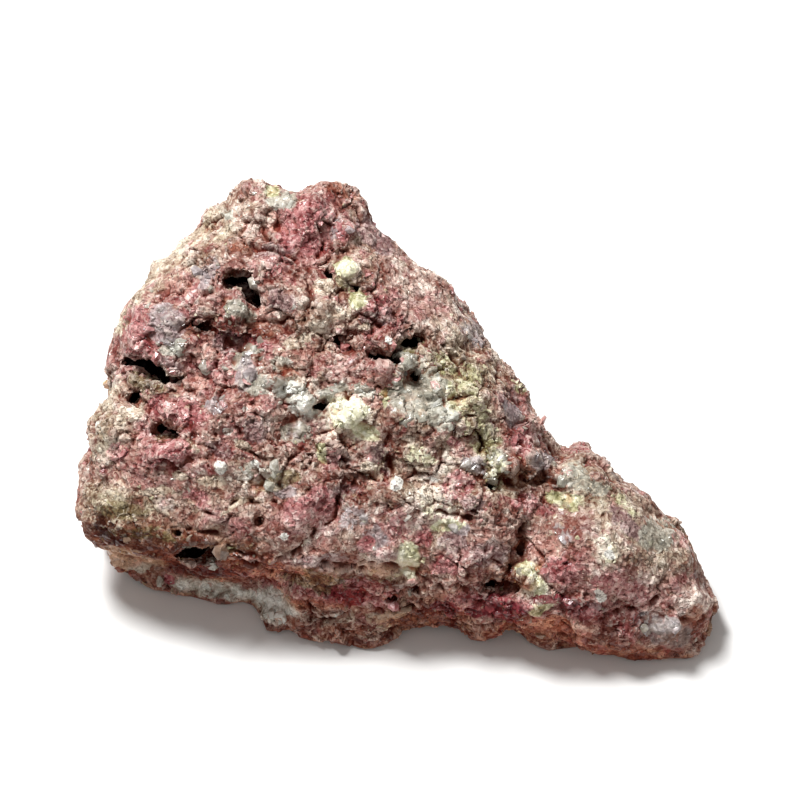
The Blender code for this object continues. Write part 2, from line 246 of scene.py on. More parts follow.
def writeValue(mesh, name, values):
    if name in mesh.attributes:
        mesh.attributes.remove(mesh.attributes[name])
    layer = mesh.attributes.new(name, "FLOAT", "POINT")
    layer.data.foreach_set("value", np.asarray(values, np.float32))


def readValue(mesh, name):
    values = np.empty(len(mesh.vertices), np.float32)
    mesh.attributes[name].data.foreach_get("value", values)
    return values


def triangleCount(mesh):
    mesh.calc_loop_triangles()
    return len(mesh.loop_triangles)


# The camera looks straight at the broad face, which leans back 35 degrees from level

face = {
    "lean": math.radians(35),
    "middle": (0.1, -6.9, 22.7),  # mm
    "distance": 0.42,  # m
    "frame": 800,  # pixels
    "pixelsPerMm": 9.23,
    "middlePixel": (398, 420),
}
leanSin, leanCos = math.sin(face["lean"]), math.cos(face["lean"])
outOfFace = Vector((0, -leanSin, leanCos))


def addCamera():
    data = bpy.data.cameras.new("camera")
    camera = newObject("camera", data)
    camera.location = Vector(face["middle"]) * mm + outOfFace * face["distance"]
    camera.rotation_euler = (face["lean"], 0, 0)
    data.sensor_width = 36
    data.lens = 36 * face["distance"] / (face["frame"] / face["pixelsPerMm"] * mm)
    data.shift_x = 0.5 - face["middlePixel"][0] / face["frame"]
    data.shift_y = face["middlePixel"][1] / face["frame"] - 0.5
    data.clip_start = 0.01
    scene.camera = camera


addCamera()


# Where things are on the broad face, in mm: middle across and up, half length, half width, then its
# turn in degrees and, where it is faint, its strength

zones = {
    "quartz": [
        (-25.6, 10.8, 1.8, 1.5, 0, 0.45), (-24.4, 8, 1.3, 0.9, 0), (-12.6, 23.8, 1.6, 1.1, -10),
        (-17.2, 11.9, 2, 1, -30), (-16, 7.6, 1.3, 0.9, 10), (-17, 6.2, 1.2, 0.9, 0),
        (-15.2, 3.8, 1.7, 1.1, -20), (-11.8, 3.2, 1.7, 1.3, 0), (-10.2, 1.6, 1.9, 1.2, -20),
        (-7.2, 3, 1.5, 0.7, 20), (-12.6, 6.2, 1.2, 0.7, 10), (1.2, 6.3, 1.7, 1.5, 0), (1, 2.6, 2, 1.8, 0),
        (3.8, 3.4, 2.2, 1.6, 0), (4.6, 0.6, 2, 1.6, -30), (11, -4.3, 1, 1.2, 0), (19.4, -6.2, 1.6, 1.2, 0),
        (21.6, -7.4, 1.5, 0.9, -20), (28.2, -12.6, 1.9, 1.9, 0), (30, -23.2, 2.4, 1.6, -15, 0.8),
        (-29.6, -15.4, 3.4, 1.3, -12, 0.95), (-20.8, -18.7, 5.4, 1.1, -8, 0.66),
        (-13.9, -20.4, 2.5, 1.7, -25), (1.2, 1.8, 0.8, 2, 20), (-14.4, -5.8, 3.2, 1.5, -10, 0.5),
        (-11.2, -1.4, 1.6, 1.1, 0), (-1, -21.6, 2.2, 0.5, 8, 0.8), (-3.6, 3.2, 1.1, 0.8, 0),
        (-18.4, 22.6, 1.3, 0.8, 0, 0.5),
    ],
    "lavender": [
        (-20.8, 15.8, 0.7, 1.9, -20), (-25.4, 10.4, 2.2, 2, 0), (-11.2, -1.3, 1.6, 1.1, 0, 0.4),
        (15.6, -4.5, 1.6, 1, 10), (8.4, -4.8, 1.4, 0.8, -10), (6.9, -11.8, 0.9, 0.8, 0),
        (-12.3, -7.6, 1, 0.8, 0), (-4.8, -10.6, 1.8, 1.4, 30, 0.6), (-2.4, -13, 1.5, 1.2, 0, 0.7),
        (17.8, -12.2, 1.4, 0.7, -35, 0.5), (-19.6, 1.6, 1, 0.8, 0), (12.6, 0.6, 1.6, 1, -40),
        (-16.6, 5, 1, 1.6, 0), (26.6, -21.8, 1.8, 1, 0, 0.5), (-6.8, 21, 0.5, 1.4, -15),
        (29.8, -23.2, 2.6, 1.7, -15), (8.6, 9.8, 1.6, 0.9, -48, 0.7),
    ],
    "epidote": [
        (-5.6, 16.6, 1.2, 1.2, 0), (-4.3, 13.3, 0.9, 1, 0), (-5.2, 0.8, 1.7, 1.5, 20),
        (-3.6, -1.2, 1.6, 0.8, -20), (1.3, -15.3, 1.1, 2.1, 12), (5.2, -11.4, 1.8, 0.8, 10),
        (14.2, -16.2, 1.2, 1, 0), (15.3, -18, 0.9, 1.1, 20), (15.6, -20.4, 1.6, 0.6, 25),
        (18, -8.6, 2, 0.7, -10), (-18, -14.4, 0.7, 0.6, 0), (-13.9, 25, 0.8, 0.6, 0),
        (-8.2, -3.4, 0.6, 1.2, 10), (-1.4, 2.4, 0.5, 1, 0),
    ],
    "mottled": [
        (7.2, 3.4, 1.6, 3, -15, 0.9), (8.4, 0.2, 1.5, 2.2, 0, 0.9), (5.4, 6, 2, 0.9, -20),
        (9.6, -2.2, 1.4, 1.6, 0), (2.4, -4, 2.4, 0.9, -10, 0.6), (13.8, 3.6, 1.1, 0.7, -40, 0.7),
        (22.4, -14, 1.2, 1.8, 10, 0.4), (10.6, -5.2, 1.3, 2.6, 0, 0.55), (4.2, -9.4, 1.8, 1.2, 0, 0.4),
        (24.4, -8.8, 2.6, 0.8, -38, 0.45), (19, -9.2, 1.6, 0.8, 0, 0.7),
    ],
    "cream": [
        (-24.4, 18.6, 7.6, 0.9, 40), (-29.4, 12, 3.4, 0.7, 60), (-8.4, 14.3, 1.1, 1, 0),
        (-8.7, 9.9, 0.8, 0.7, 0), (-6.3, 11.6, 1.3, 0.7, 20), (-10.8, 8.6, 1.4, 0.7, 15),
        (-26.2, -7.8, 1.9, 0.5, -5), (-17.2, -9.2, 2, 0.35, 32), (-22.6, -3, 0.9, 0.6, 30),
        (3.1, -8.4, 0.6, 1.1, 0), (-29.4, 0.4, 1.6, 0.8, 30), (-1, -21.7, 2.4, 0.6, 8, 0.8),
        (-16.8, -2.6, 0.9, 0.5, 0), (-31.6, 2.2, 2.2, 0.8, 50), (-3, -5.4, 1.2, 0.8, 0),
        (3.4, 4.3, 1.2, 0.7, 0), (-20.2, -6.6, 1.6, 0.6, -10), (-3.6, 10, 0.7, 0.5, 0),
        (-23.8, -5.9, 0.9, 0.6, 0), (8.2, 7.2, 1.3, 0.6, 10), (12, -8, 1, 0.5, 0),
    ],
    "white": [
        (-19.3, -5.1, 0.6, 0.7, 0), (-15.4, -4.6, 0.6, 0.4, 0), (-0.2, -6.8, 0.7, 0.9, 0),
        (22.2, -19, 0.5, 0.45, 0), (22.8, -14.6, 0.5, 0.4, 0), (-16.7, 0.9, 0.4, 0.3, 0),
        (-18.4, -1.4, 0.5, 0.5, 0), (-24, 8.2, 0.6, 0.4, 0), (-12.4, -12.6, 0.5, 0.3, 0),
        (3.6, -6.6, 0.5, 0.3, 0), (-1, 8.4, 0.4, 0.4, 0), (-11.4, 1.2, 0.6, 0.6, 0),
    ],
    "rose": [
        (-9.3, 22.6, 1.9, 1.6, 0), (-9.6, 19.8, 1.7, 1.7, 0), (-6.4, 20.8, 0.8, 1.4, 20),
        (-28.4, 10.4, 1.2, 2.4, 10), (-27.8, 7.8, 1.8, 0.8, 0), (-23.6, 1, 3, 1.2, -8),
        (-26.2, 1.6, 1, 1.2, 0), (-24.8, -3.5, 2.3, 1.2, 5), (0.1, -11.7, 0.9, 0.9, 0),
        (2.8, -12.8, 0.8, 1, 0), (5, -15.8, 1.5, 1, 10), (6.2, -2.2, 0.8, 0.6, 0),
        (13.6, -2.3, 1.1, 1.2, 0), (17.4, -16.2, 2, 1.4, 0), (24.4, -18.2, 3.4, 1.1, -15),
        (-2.2, 12.6, 1.2, 0.7, 20), (-9.6, -9.6, 3, 1.8, 20), (-12, 20, 1.2, 1.4, 0),
        (6.4, -7.2, 1.8, 1.4, 0), (-21.8, -8.4, 1.5, 1, 0, 0.55), (-15, 8.6, 1.8, 0.6, -10),
        (20.4, -21, 2, 0.9, -10), (-3.4, -13.6, 1.2, 0.8, 20), (-30.6, -3.6, 1.4, 0.9, 20),
        (7.4, -19.8, 2.4, 0.7, -8), (-3.4, -19, 3.8, 1.2, -12, 0.8), (13.6, -9, 1.6, 0.9, 0),
    ],
    "salmon": [
        (-14.4, 11.7, 2, 0.6, 35), (-24.2, 14.4, 1.7, 1.3, -20), (-15.8, 1.6, 1.4, 0.9, 10),
        (-20.4, 7.4, 1.8, 1.1, 10), (-11, 7.2, 2.2, 1.1, 10), (-2.6, 4.2, 1.5, 1.2, 0),
        (-3.2, 1.8, 1, 0.8, 0), (16, -13.8, 1.8, 1.2, 0), (10.2, -13.4, 2, 1.2, 20),
        (-13.6, 21.6, 0.9, 0.8, 0), (-2.6, -6, 1.6, 1, 10), (1.2, 14, 3.4, 3, 0, 0.3),
        (-22.4, 3.8, 1.6, 0.9, 20), (18.6, -22.6, 2.6, 0.9, -10), (-9.4, -14.4, 2.6, 0.6, 15),
    ],
    "mauve": [
        (12.4, 1.8, 1.3, 2, 20, 0.7), (-2.6, 20.2, 1.4, 2.6, 40), (10, -14.6, 2.4, 1.4, 10),
        (-13.4, 18.4, 2.2, 0.9, 5), (-2.2, 11.4, 1.8, 1, 10), (-18.6, 8.4, 1.4, 1.4, 0),
        (-15.4, -1.2, 1.6, 1.2, 0), (-2, -4.2, 1, 1.8, 0), (6, -13.2, 1.4, 1.2, 0),
        (25, -11.4, 2.4, 0.9, -40), (20, -20.2, 3, 0.7, -8), (9.6, -1, 0.6, 1.4, 0), (-8, -15.6, 3, 0.8, 0),
        (-19.4, -3.2, 1.6, 0.8, -30), (8, -9.2, 1.4, 0.8, 0), (-12.6, 13, 1.4, 0.9, 0),
        (-6.4, -8, 2.2, 0.7, 20), (-24.6, 6.2, 1.6, 0.6, -20),
    ],
    "crimson": [
        (11.2, -20.6, 3, 1.4, -20), (8.4, -21, 1.2, 0.7, 0), (-5.6, -19.4, 3, 0.8, -8, 0.8),
        (-25.6, -17.8, 0.8, 0.7, 20, 0.9), (-9.8, 20.2, 1.4, 2.2, 10, 0.4), (5, -20.4, 1.6, 0.6, 0),
        (16.6, -19.6, 2.2, 0.5, -8),
    ],
    "rust": [
        (-6.2, 25, 2, 0.8, -5), (12.6, -4.6, 0.7, 1, -30), (-5, -23.2, 2.6, 0.7, -5),
        (-12.2, -22.2, 2.4, 0.5, -20), (-21.4, 10.3, 2.2, 0.4, 0, 0.6), (-14.6, 9.6, 1.4, 0.4, -5, 0.6),
        (17.4, -7, 1.2, 0.6, -30), (-12.4, 4.9, 1.4, 0.4, 10), (-19, -14.9, 5, 0.6, 0),
        (-24.6, -0.5, 1.8, 0.4, -8), (32.4, -21.6, 1.4, 1.4, 0), (-17.4, 18.8, 1.2, 0.5, 0),
    ],
    "olive": [
        (-30, -9.7, 2.6, 0.9, -5), (-27.4, 4.2, 2.2, 0.9, -10), (-28, -12.4, 6, 0.8, -4, 0.5),
        (-3, -16.9, 6.4, 0.7, 2, 0.4), (-5.6, 14.8, 1, 0.6, 0), (-12.8, -6.6, 2.4, 0.9, 20),
        (10.4, -5.8, 1, 1.8, 0), (-25.6, -1.9, 0.9, 0.5, 0), (-9, -17.6, 3.2, 1, -5),
    ],
    "worn": [
        (-25, -9, 9, 3.6, -4), (-12, -11.5, 8, 4, -4), (24, -14, 9, 6.5, -40), (2, 15, 3.4, 9, 42),
        (-29.5, 12.5, 3, 9, -40), (0, -13.5, 8, 3, 0), (-24.6, -16.8, 9.6, 1.9, -10),
        (-13.8, -20, 3, 1.5, -25), (30, -23.2, 2.6, 1.8, -15), (-27, -12.9, 8.4, 1.7, -5),
        (33, -18.6, 3, 4.6, -25), (26, -25, 6, 1.6, -5), (27.6, -8.8, 4.8, 1.8, -44),
    ],
}


# Broad washes of colour over the face, given in the same way, each with its strength.
# The brown and dim washes are partly painted shade along crevices, hollows and under the ledge; the pale
# wash is partly painted light that lifts shaded places
washes = {
    "tanWash": [
        (6.6, 3.6, 5, 6.4, -25, 0.95), (3.6, -6.4, 5.6, 4.6, -20, 0.6), (22.4, -8, 5.6, 2.2, -38, 0.8),
        (27.6, -14, 4.4, 4.4, -50, 0.6), (22.6, -14, 2, 3.4, 0, 0.55), (-22, 18.6, 9, 2.4, 40, 0.8),
        (-30.4, -9.2, 5, 2.4, -8, 0.95), (-31.8, -0.4, 2.6, 5.4, 12, 0.8), (-5.2, 14.4, 3, 3.8, 0, 0.55),
        (-9.4, 9.6, 3.6, 2.6, 0, 0.5), (-16.2, -6.4, 6, 3, -10, 0.3), (3.4, -12.6, 3.6, 2.6, 0, 0.6),
        (-27.4, 3.2, 3, 2.4, -30, 0.7), (-5, 0.8, 3.2, 2.8, 20, 0.75), (-13.4, 4.4, 5, 2.2, -10, 0.4),
        (14.6, -17.6, 1.8, 2.6, 0, 0.6), (-17, 23.2, 3, 1.8, 30, 0.4), (10.4, -6.2, 1.8, 2.6, 0, 0.65),
    ],
    "roseWash": [
        (-10, 21, 3.6, 4.2, 0, 0.95), (-27.2, 9.2, 4.6, 5.4, 0, 0.75), (-24.6, -1.2, 5.2, 4.6, 0, 0.75),
        (-20.4, 13.6, 6, 4.4, 20, 0.45), (-28, -5.4, 4.4, 2.2, 0, 0.6), (9, -15.4, 5.4, 3.4, 0, 0.45),
        (17.8, -15.4, 4.2, 3, 0, 0.55), (24.4, -18.6, 8, 3, -10, 0.6), (-2.6, 4, 2.6, 2.6, 0, 0.6),
        (-10, -10.2, 4.2, 3.2, 10, 0.6), (0.4, -12, 3.4, 2.8, 0, 0.7), (-10, -18.4, 6.6, 1.6, -5, 0.85),
        (12, -20.4, 5.6, 1.6, -5, 0.9), (28, -21.4, 6.4, 2.6, 0, 0.55), (13, 1.2, 2.6, 4.6, 30, 0.45),
        (-16, 1.4, 2.6, 1.8, 0, 0.6), (-23.4, 13.6, 3, 2.8, 0, 0.85), (-12.6, 18.4, 3, 2.2, 0, 0.75),
        (-19.8, 6, 4, 3.6, 0, 0.85), (-2.6, 12.2, 3.4, 3, 0, 0.55), (-12.4, 8.4, 2.6, 2, 0, 0.6),
        (-18.6, -2.4, 3.4, 3, 0, 0.7), (-7, 5.6, 2.4, 2, 0, 0.5), (18, -21.4, 6, 1.6, -5, 0.7),
        (-14, -16.8, 6, 1.4, 0, 0.6), (-20, -16, 4, 1.6, 0, 0.45), (3.6, -15.6, 3, 1.8, 0, 0.6),
        (-16.4, 22.4, 2.6, 2, 20, 0.35),
    ],
    # partly the rock's own brown and partly painted shade along crevices and under the ledge
    "brownWash": [
        (-27, -12.8, 9.4, 2, -4, 0.85), (-31.4, -11.8, 2.4, 1.4, -40, 0.9), (1, -16.8, 4, 1.2, 0, 0.6),
        (-5, -22.6, 8.4, 1.8, -5, 0.5), (-28.4, -16.6, 4.4, 1.4, -6, 0.6), (-22, -17.4, 5, 1.4, -8, 0.4),
        (-14, 9.8, 4, 1, -5, 0.4), (-22, 10.2, 3, 0.9, 0, 0.5), (13.2, -6.4, 4.4, 1.3, 0, 0.85),
        (12.4, -17, 3.2, 1.4, 20, 0.8), (-20, -14.2, 7, 1.6, 0, 0.85), (-2.6, -5.6, 4.6, 0.9, 35, 0.6),
        (-15.6, 19, 4, 1, 0, 0.5),
    ],
    # partly paler rock and partly painted light that lifts shaded places, such as the lobes and slab below
    "paleWash": [
        (3.4, 1.8, 4.6, 3.4, -20, 0.35), (4.6, 1.2, 1.8, 1.4, -20, 1.6), (-10, 1.6, 1.6, 1.1, -20, 2.4),
        (4, -7.6, 3.4, 4.8, -10, 1.2), (-5, 0.4, 2.4, 2.2, 0, 1.8), (-11.4, 2.6, 3.8, 2.2, -10, 1.15),
        (-14.6, 6.4, 2.2, 1.6, -30, 0.7), (-8.2, 12.8, 2.6, 2.8, 0, 0.4), (-16.6, 22.4, 2.8, 2.2, 30, 1.2),
        (-5.6, 16.4, 1.6, 1.6, 0, 0.6), (-27.4, -7.2, 4.4, 1.6, 0, 0.1), (-28, 8.8, 2, 3.6, 10, 0.5),
        (-23.4, 1.4, 3, 1.4, 0, 0.6), (10, -14, 3, 2.6, 0, 0.6), (-8.8, -11.8, 1.2, 3, -40, 0.8),
        (2.2, -3.4, 3, 1.6, -10, 0.8), (-7, 5, 2.4, 1.6, 0, 0.5), (-31.6, -1.6, 2.6, 4.6, 10, 0.55),
        (23.4, -9.6, 6, 2.8, -40, 0.3), (22.4, -14, 2.2, 3.2, 0, 0.9), (28.4, -13.6, 2.6, 3.8, -40, 0.5),
        (-21.8, 18.8, 6, 1.8, 40, 0.5), (3, 13.4, 6.6, 2.6, -48, 0.75), (-14, -6, 3, 1.6, 0, 0.5),
        (-20.4, 6.4, 2.6, 1.8, 0, 0.5), (-14.6, -6.4, 4, 1.8, 0, 0.6), (-4, -11.6, 2.4, 2.4, 0, 0.4),
        (0.4, -12.4, 1.8, 1.6, 0, 0.6), (-24.8, -3.3, 2, 1.1, 0, 0.6), (14.8, -17.6, 1.4, 1.8, 0, 0.9),
        (24, -18.6, 3.6, 1.2, -10, 0.8), (-2.2, 19.8, 2.2, 1.6, 40, 0.3), (-29.8, -15.6, 3, 1.2, -8, 0.8),
        (-20.8, -18.8, 5.4, 0.9, -8, 1.3), (-13.6, -20.8, 2.6, 1.5, -25, 2.4),
        (-4, -16.1, 5.4, 0.9, 0, 2.4), (-5, -22.6, 6, 1.2, -5, 0.4), (28, -21.6, 2.6, 1.2, -15, 0.8),
        (32.2, -20.6, 1.8, 2, 0, 1.8), (18, -22.4, 3.4, 0.8, -5, 1.8), (-10, -17.4, 2, 0.9, 0, 1.6),
        (-14, -17.2, 2, 0.8, 0, 0.8), (30.4, -14.2, 1.2, 1.8, -30, 0.6), (8.4, -4.6, 1.6, 1.2, 0, 0.6),
        (11, -4.2, 1.2, 1.6, 0, 0.7), (-0.4, -6.6, 1, 1.4, 0, 0.7), (-1, -21.7, 2.6, 0.7, 8, 0.8),
        (1.3, -15.3, 1.6, 2.4, 12, 0.9), (-6.4, -8.8, 1.8, 1.4, -40, 0.9),
        (28.4, -15.4, 2.6, 3.4, -30, 0.3), (22.2, -19, 0.8, 0.7, 0, 1.2), (14.4, -0.6, 1.2, 2, 20, 0.5),
        (4.8, -2.6, 3.6, 2, -15, 0.9), (-9.5, 21.5, 2.4, 3, 0, 0.5),
    ],
    # partly darker rock and partly painted shade in crevices, hollows and under the ledge
    "dimWash": [
        (-20.8, 10.3, 3.4, 1, 0, 0.8), (-15.8, 9.4, 3.2, 0.9, -10, 0.8), (-5.4, 8.1, 1.8, 0.8, -5, 0.9),
        (-1.4, 7.6, 3, 1.2, 0, 0.8), (2, 9.4, 2, 1, 0, 0.7), (11.8, 1.6, 1.3, 2.6, 20, 0.45),
        (14.8, -6, 3.4, 1.1, -10, 0.6), (-0.9, -3.2, 0.8, 3.4, -8, 1.3), (-5.4, -7.4, 3.2, 0.8, 35, 0.7),
        (-27.4, -13.2, 8.6, 1.1, -5, 0.7), (-31.6, -12.2, 2.4, 1.4, -40, 1.2),
        (-12.4, 5.2, 1.8, 0.5, 0, 0.6), (-17, 9.2, 1.8, 0.7, -20, 0.7), (11.6, -17.8, 2.8, 1.2, 10, 0.8),
        (13.8, -13.4, 0.9, 2.8, -15, 0.2), (-15.2, -2.2, 2.2, 0.9, -30, 0.4), (-8, 18, 1.4, 1, 0, 0.5),
        (-3.6, 14.6, 1, 0.8, 0, 0.6), (-26, 3.4, 2.6, 1.2, -10, 0.5), (-12.2, 15.8, 3.4, 0.8, 20, 0.5),
        (9.4, -17.8, 1.8, 0.9, 0, 0.8), (-8.6, 5.6, 1.8, 0.7, 0, 0.6), (-23, -13.8, 3, 1, 0, 0.8),
        (-17, -15, 4, 0.8, 0, 0.5), (-21.4, -16.5, 4.2, 0.9, -8, 1.6), (28.2, -12.8, 1.8, 1.8, 0, 0.9),
        (0, -21.2, 2.6, 0.8, 8, 0.6), (4.4, -20.6, 2.2, 0.8, 0, 0.6), (10.6, -21, 2.6, 1, 0, 0.7),
        (24, -22.6, 5, 1.2, 0, 0.4), (-7.4, -3, 1.4, 1, 0, 0.6), (-7.8, 15.6, 1.2, 0.9, 0, 0.7),
        (-8.4, 1.2, 1.2, 0.8, 0, 0.8), (-16.4, -3.8, 1.8, 0.6, 0, 0.7), (-25.2, -5.1, 2.2, 0.5, 0, 0.8),
        (7, -16.2, 2, 1, 0, 0.4), (-25.6, 10.4, 2.4, 2.4, 0, 0.35), (-16.8, 12, 2.2, 1.3, -30, 0.45),
        (-2, 12.4, 2.2, 1.5, 0, 0.25), (-4.6, -17.6, 6, 0.8, -3, 0.6), (-2.6, 20.4, 1.4, 1.6, 0, 0.2),
        (2.4, 2.9, 1.1, 1.3, 0, 0.9), (21.4, -7, 2.6, 1.4, -20, 0.8), (17.6, -15.4, 2.6, 2.4, 0, 0.35),
        (30, -23.2, 2.6, 1.8, 0, 0.3), (7.8, 2.4, 1.8, 3.4, -15, 0.35), (-24, 14.4, 1.8, 1.3, 0, 0.25),
        (22, -20.4, 5, 1.2, -10, 0.3),
    ],
}

# Open hollows: a path (across, up), its half width and its depth in mm
hollows = [
    ([(-18.6, 15.1), (-17, 15.6), (-15.7, 14.9)], 0.68, 3.4),
    ([(-16, 13.9), (-15.2, 13.2), (-14.5, 12.5)], 0.66, 3.2),
    ([(-29.8, 6.3), (-28.2, 6.3), (-26.8, 5.5), (-25.3, 4.3), (-23.8, 4.3)], 0.62, 3),
    ([(-28.6, 3), (-29.2, 1.9)], 0.5, 2.2), ([(-26.2, -0.8), (-25, -0.8), (-23.9, -1.2)], 0.58, 3),
    ([(0.6, 8.1), (1.2, 8.6), (2.2, 8.1)], 1, 4), ([(0.1, 7.8), (-0.6, 6.8), (-0.2, 6)], 0.62, 3),
    ([(-3, 7), (-2, 6.8)], 0.48, 2.6), ([(-6.5, 8.7), (-6.3, 7.6)], 0.36, 2),
    ([(1.6, 5), (2.1, 4.4)], 0.38, 2), ([(3, 6.3), (4, 6.2)], 0.3, 1.4),
    ([(-9.2, 1.4), (-8.2, 1.2), (-6.8, 2.2)], 0.34, 2), ([(-7.3, -2.9), (-6.9, -3.2)], 0.34, 1.8),
    ([(9.8, -7.2), (10.4, -7.2)], 0.46, 2.4), ([(-15.1, -10.7), (-14.9, -11.5)], 0.34, 2),
    ([(-24, -14.8), (-22.4, -14.5), (-20.6, -13.6)], 0.46, 2.6),
    ([(-24.4, -12.2), (-22.8, -12.6)], 0.3, 1.5), ([(-13.6, 21.3), (-12.8, 21.2)], 0.24, 1.2),
    ([(-5.4, 14.7), (-4.2, 14.4)], 0.4, 1.8), ([(-7.8, 16.2), (-7.2, 15.4)], 0.34, 1.8),
    ([(9.6, -18.1), (11.6, -17.4)], 0.36, 2), ([(1.5, -18.2), (2.4, -18.9)], 0.3, 1.5),
    ([(-1.6, -19.8), (-0.2, -19.5)], 0.28, 1.5), ([(7.7, -10.6), (8.6, -10.9)], 0.24, 1.2),
    ([(11.9, -5.7), (12.4, -5.4)], 0.28, 1.4), ([(13.8, -6.4), (14.9, -7.1)], 0.26, 1.6),
    ([(-21.6, 15.6), (-20.3, 16.4)], 0.24, 1.4), ([(-23.2, 10.5), (-21.4, 10.2), (-20, 10.2)], 0.3, 1.8),
    ([(-9.6, 12.2), (-8.6, 12)], 0.22, 1.2), ([(-9.8, -12.1), (-9.2, -12.2)], 0.26, 1.4),
    ([(-10.8, -14.6), (-10.2, -14)], 0.26, 1.4), ([(14.9, -11), (14, -12)], 0.26, 1.4),
    ([(-11.9, 17), (-10.6, 17)], 0.22, 1.2), ([(-4.2, 3.9), (-3.7, 4.6)], 0.26, 1.4),
    ([(7.6, -0.6), (8.2, -0.8)], 0.22, 1.2),
]

# Crevices: a path (across, up) and its half width in mm
crevices = [
    ([(-23.4, 10.2), (-20.6, 9.8), (-18.6, 9.2), (-17.4, 7.2)], 0.4),
    ([(-18.6, 9.4), (-18, 6.6), (-19, 4.4)], 0.42),
    ([(-0.2, -0.2), (-1.2, -1.8), (-0.9, -5.1), (-4.1, -6.5), (-6.6, -8.1)], 0.38),
    ([(-6.6, -8.1), (-7.1, -10.3), (-8.7, -11.9), (-10.6, -14.3)], 0.24),
    ([(-10.6, -14.3), (-13, -14.9), (-19.5, -14.6)], 0.42),
    ([(14.6, -11.2), (13.6, -13.2), (13, -15), (12, -16.9), (9, -18.3), (4.6, -18.4)], 0.36),
    ([(18, -6.6), (15.4, -6.8), (13.4, -6.2), (11.2, -6.6)], 0.4),
    ([(-27.6, 6.6), (-24.6, 4.6), (-21.6, 2.8)], 0.36),
    ([(-17.6, -1), (-17, -2.8), (-15, -3.8), (-13.9, -4.4)], 0.28),
    ([(-14.6, 5.2), (-12.4, 5.2), (-11.4, 4.2)], 0.34), ([(-8, 22.2), (-8.2, 19.6), (-8.6, 18.2)], 0.32),
    ([(-15.6, 19), (-13.6, 18.4), (-11, 17)], 0.28), ([(-16, 10.6), (-13.4, 10.4), (-11.4, 11.6)], 0.36),
    ([(-26.6, -4.8), (-24, -4.9), (-22.4, -3.9)], 0.34),
    ([(-24.4, -12), (-22.4, -11.8), (-19, -12.8)], 0.3),
    ([(-9.8, -15.6), (-5, -16), (0, -15.9), (3.4, -17)], 0.36),
    ([(1.4, -20.4), (3.4, -21.4), (6.4, -21.6)], 0.3), ([(22.6, -21.4), (26.6, -20.2), (28.6, -19.4)], 0.3),
    ([(-21, -9.9), (-19.6, -10.4), (-16.6, -8.6), (-13.4, -8.8)], 0.26),
    ([(4.6, -10), (6.4, -10.2), (8.6, -10.9)], 0.28), ([(9.2, 3.6), (9.8, 1), (9.4, -2.4), (9, -5)], 0.3),
    ([(-7.6, -2.6), (-6.2, -4), (-5, -5)], 0.22), ([(30, -20.4), (32, -22.4)], 0.28),
    ([(-10, 10.8), (-9.4, 13.2), (-10.2, 15.6)], 0.26), ([(-6.2, 8.1), (-4.2, 7.8), (-3.2, 7.1)], 0.3),
    ([(5, 7.8), (6.4, 6.4)], 0.24), ([(-5.4, 10.8), (-4.2, 11.8), (-2, 10.4)], 0.24),
]


# Where the outline is drawn in or out: middle across and up, reach, then shift across and up, in mm
nudges = [
    (-5.2, 25.2, 1.8, 0.8, 1.1), (-8.4, 25.6, 1.6, 0, 0.45), (-2.4, 22.2, 2, -0.9, -0.5),
    (-12.8, 25.2, 1.5, 0.1, 0.55), (-16.8, 26, 1.9, 0.9, -0.1), (-20.4, 22.8, 1.9, -0.8, 0.6),
    (-24.6, 18.2, 1.8, 1.05, -1), (-32.4, 4.4, 1.4, 0.75, 0), (-34.4, -3.6, 1.2, 0.45, 0),
    (-29.4, -17.4, 1.9, 0.3, 1.3), (-34.2, -12.4, 1.4, -0.3, -0.2), (-23.6, -18.8, 1.8, 0, -0.6),
    (-15.6, -20.6, 1.9, 0.15, 0.1), (-13.4, -23.2, 1.6, 0.5, 1.3), (0, -24, 1.8, 0, 1.1),
    (5.8, -23.7, 2.8, 0, 1.25), (12, -24.4, 2.2, 0, 1.6), (21.6, -25.2, 2, 0, -0.5),
    (26.6, -25.8, 2.6, 0, -0.75), (32.8, -24.8, 1.8, -0.6, 0.35), (34.2, -21.8, 2.6, -0.5, 0.1),
    (33.6, -17.2, 1.9, -0.1, -0.05), (28.8, -9.8, 2.3, -0.6, -0.6), (24.2, -5.4, 1.8, -0.35, -0.5),
    (21, -3.4, 1, 0.4, 0.3), (16.2, -1.2, 1.3, -0.5, -0.2), (7.6, 12.4, 1.5, -0.35, -0.35),
]


def nudged(points):
    across, up, _ = toFace(points)
    moved = points.astype(float)
    for midAcross, midUp, reach, right, rise in nudges:
        near = np.exp(-((across - midAcross) ** 2 + (up - midUp) ** 2) / reach ** 2)
        moved += near[:, None] * np.array((right, rise * leanCos, rise * leanSin)) * mm
    moved[:, 2] = np.maximum(moved[:, 2], 0)
    return moved


def toFace(points):
    # across, up and out of points in metres, in mm
    x, y, z = (points / mm - np.array(face["middle"])).T
    return x, y * leanCos + z * leanSin, z * leanCos - y * leanSin


def fromFace(across, up, out):
    # a point in metres from across, up and out in mm
    y = up * leanCos - out * leanSin
    z = up * leanSin + out * leanCos
    return (Vector((across, y, z)) + Vector(face["middle"])) * mm


def facing(mesh):
    # 1 where the surface faces the way the broad face does, -1 where it is turned from it
    return readNormals(mesh) @ np.array(outOfFace)


def wander(points, wave, seed):
    # smooth noise at each point, from -1 to 1
    shift = Vector((seed, seed * 1.7, seed * 0.3))
    return np.array([noise.noise(Vector(point) / (wave * mm) + shift) for point in points])


def nearPaths(across, up, paths):
    # 1 in the middle of a path, falling off over its half width
    near = np.zeros(len(across))
    for path, width in paths:
        for (ax, ay), (bx, by) in zip(path, path[1:]):
            run, climb = bx - ax, by - ay
            share = np.clip(((across - ax) * run + (up - ay) * climb) / (run ** 2 + climb ** 2), 0, 1)
            away = np.hypot(across - ax - share * run, up - ay - share * climb) / width
            near = np.maximum(near, np.exp(-away * away))
    return near


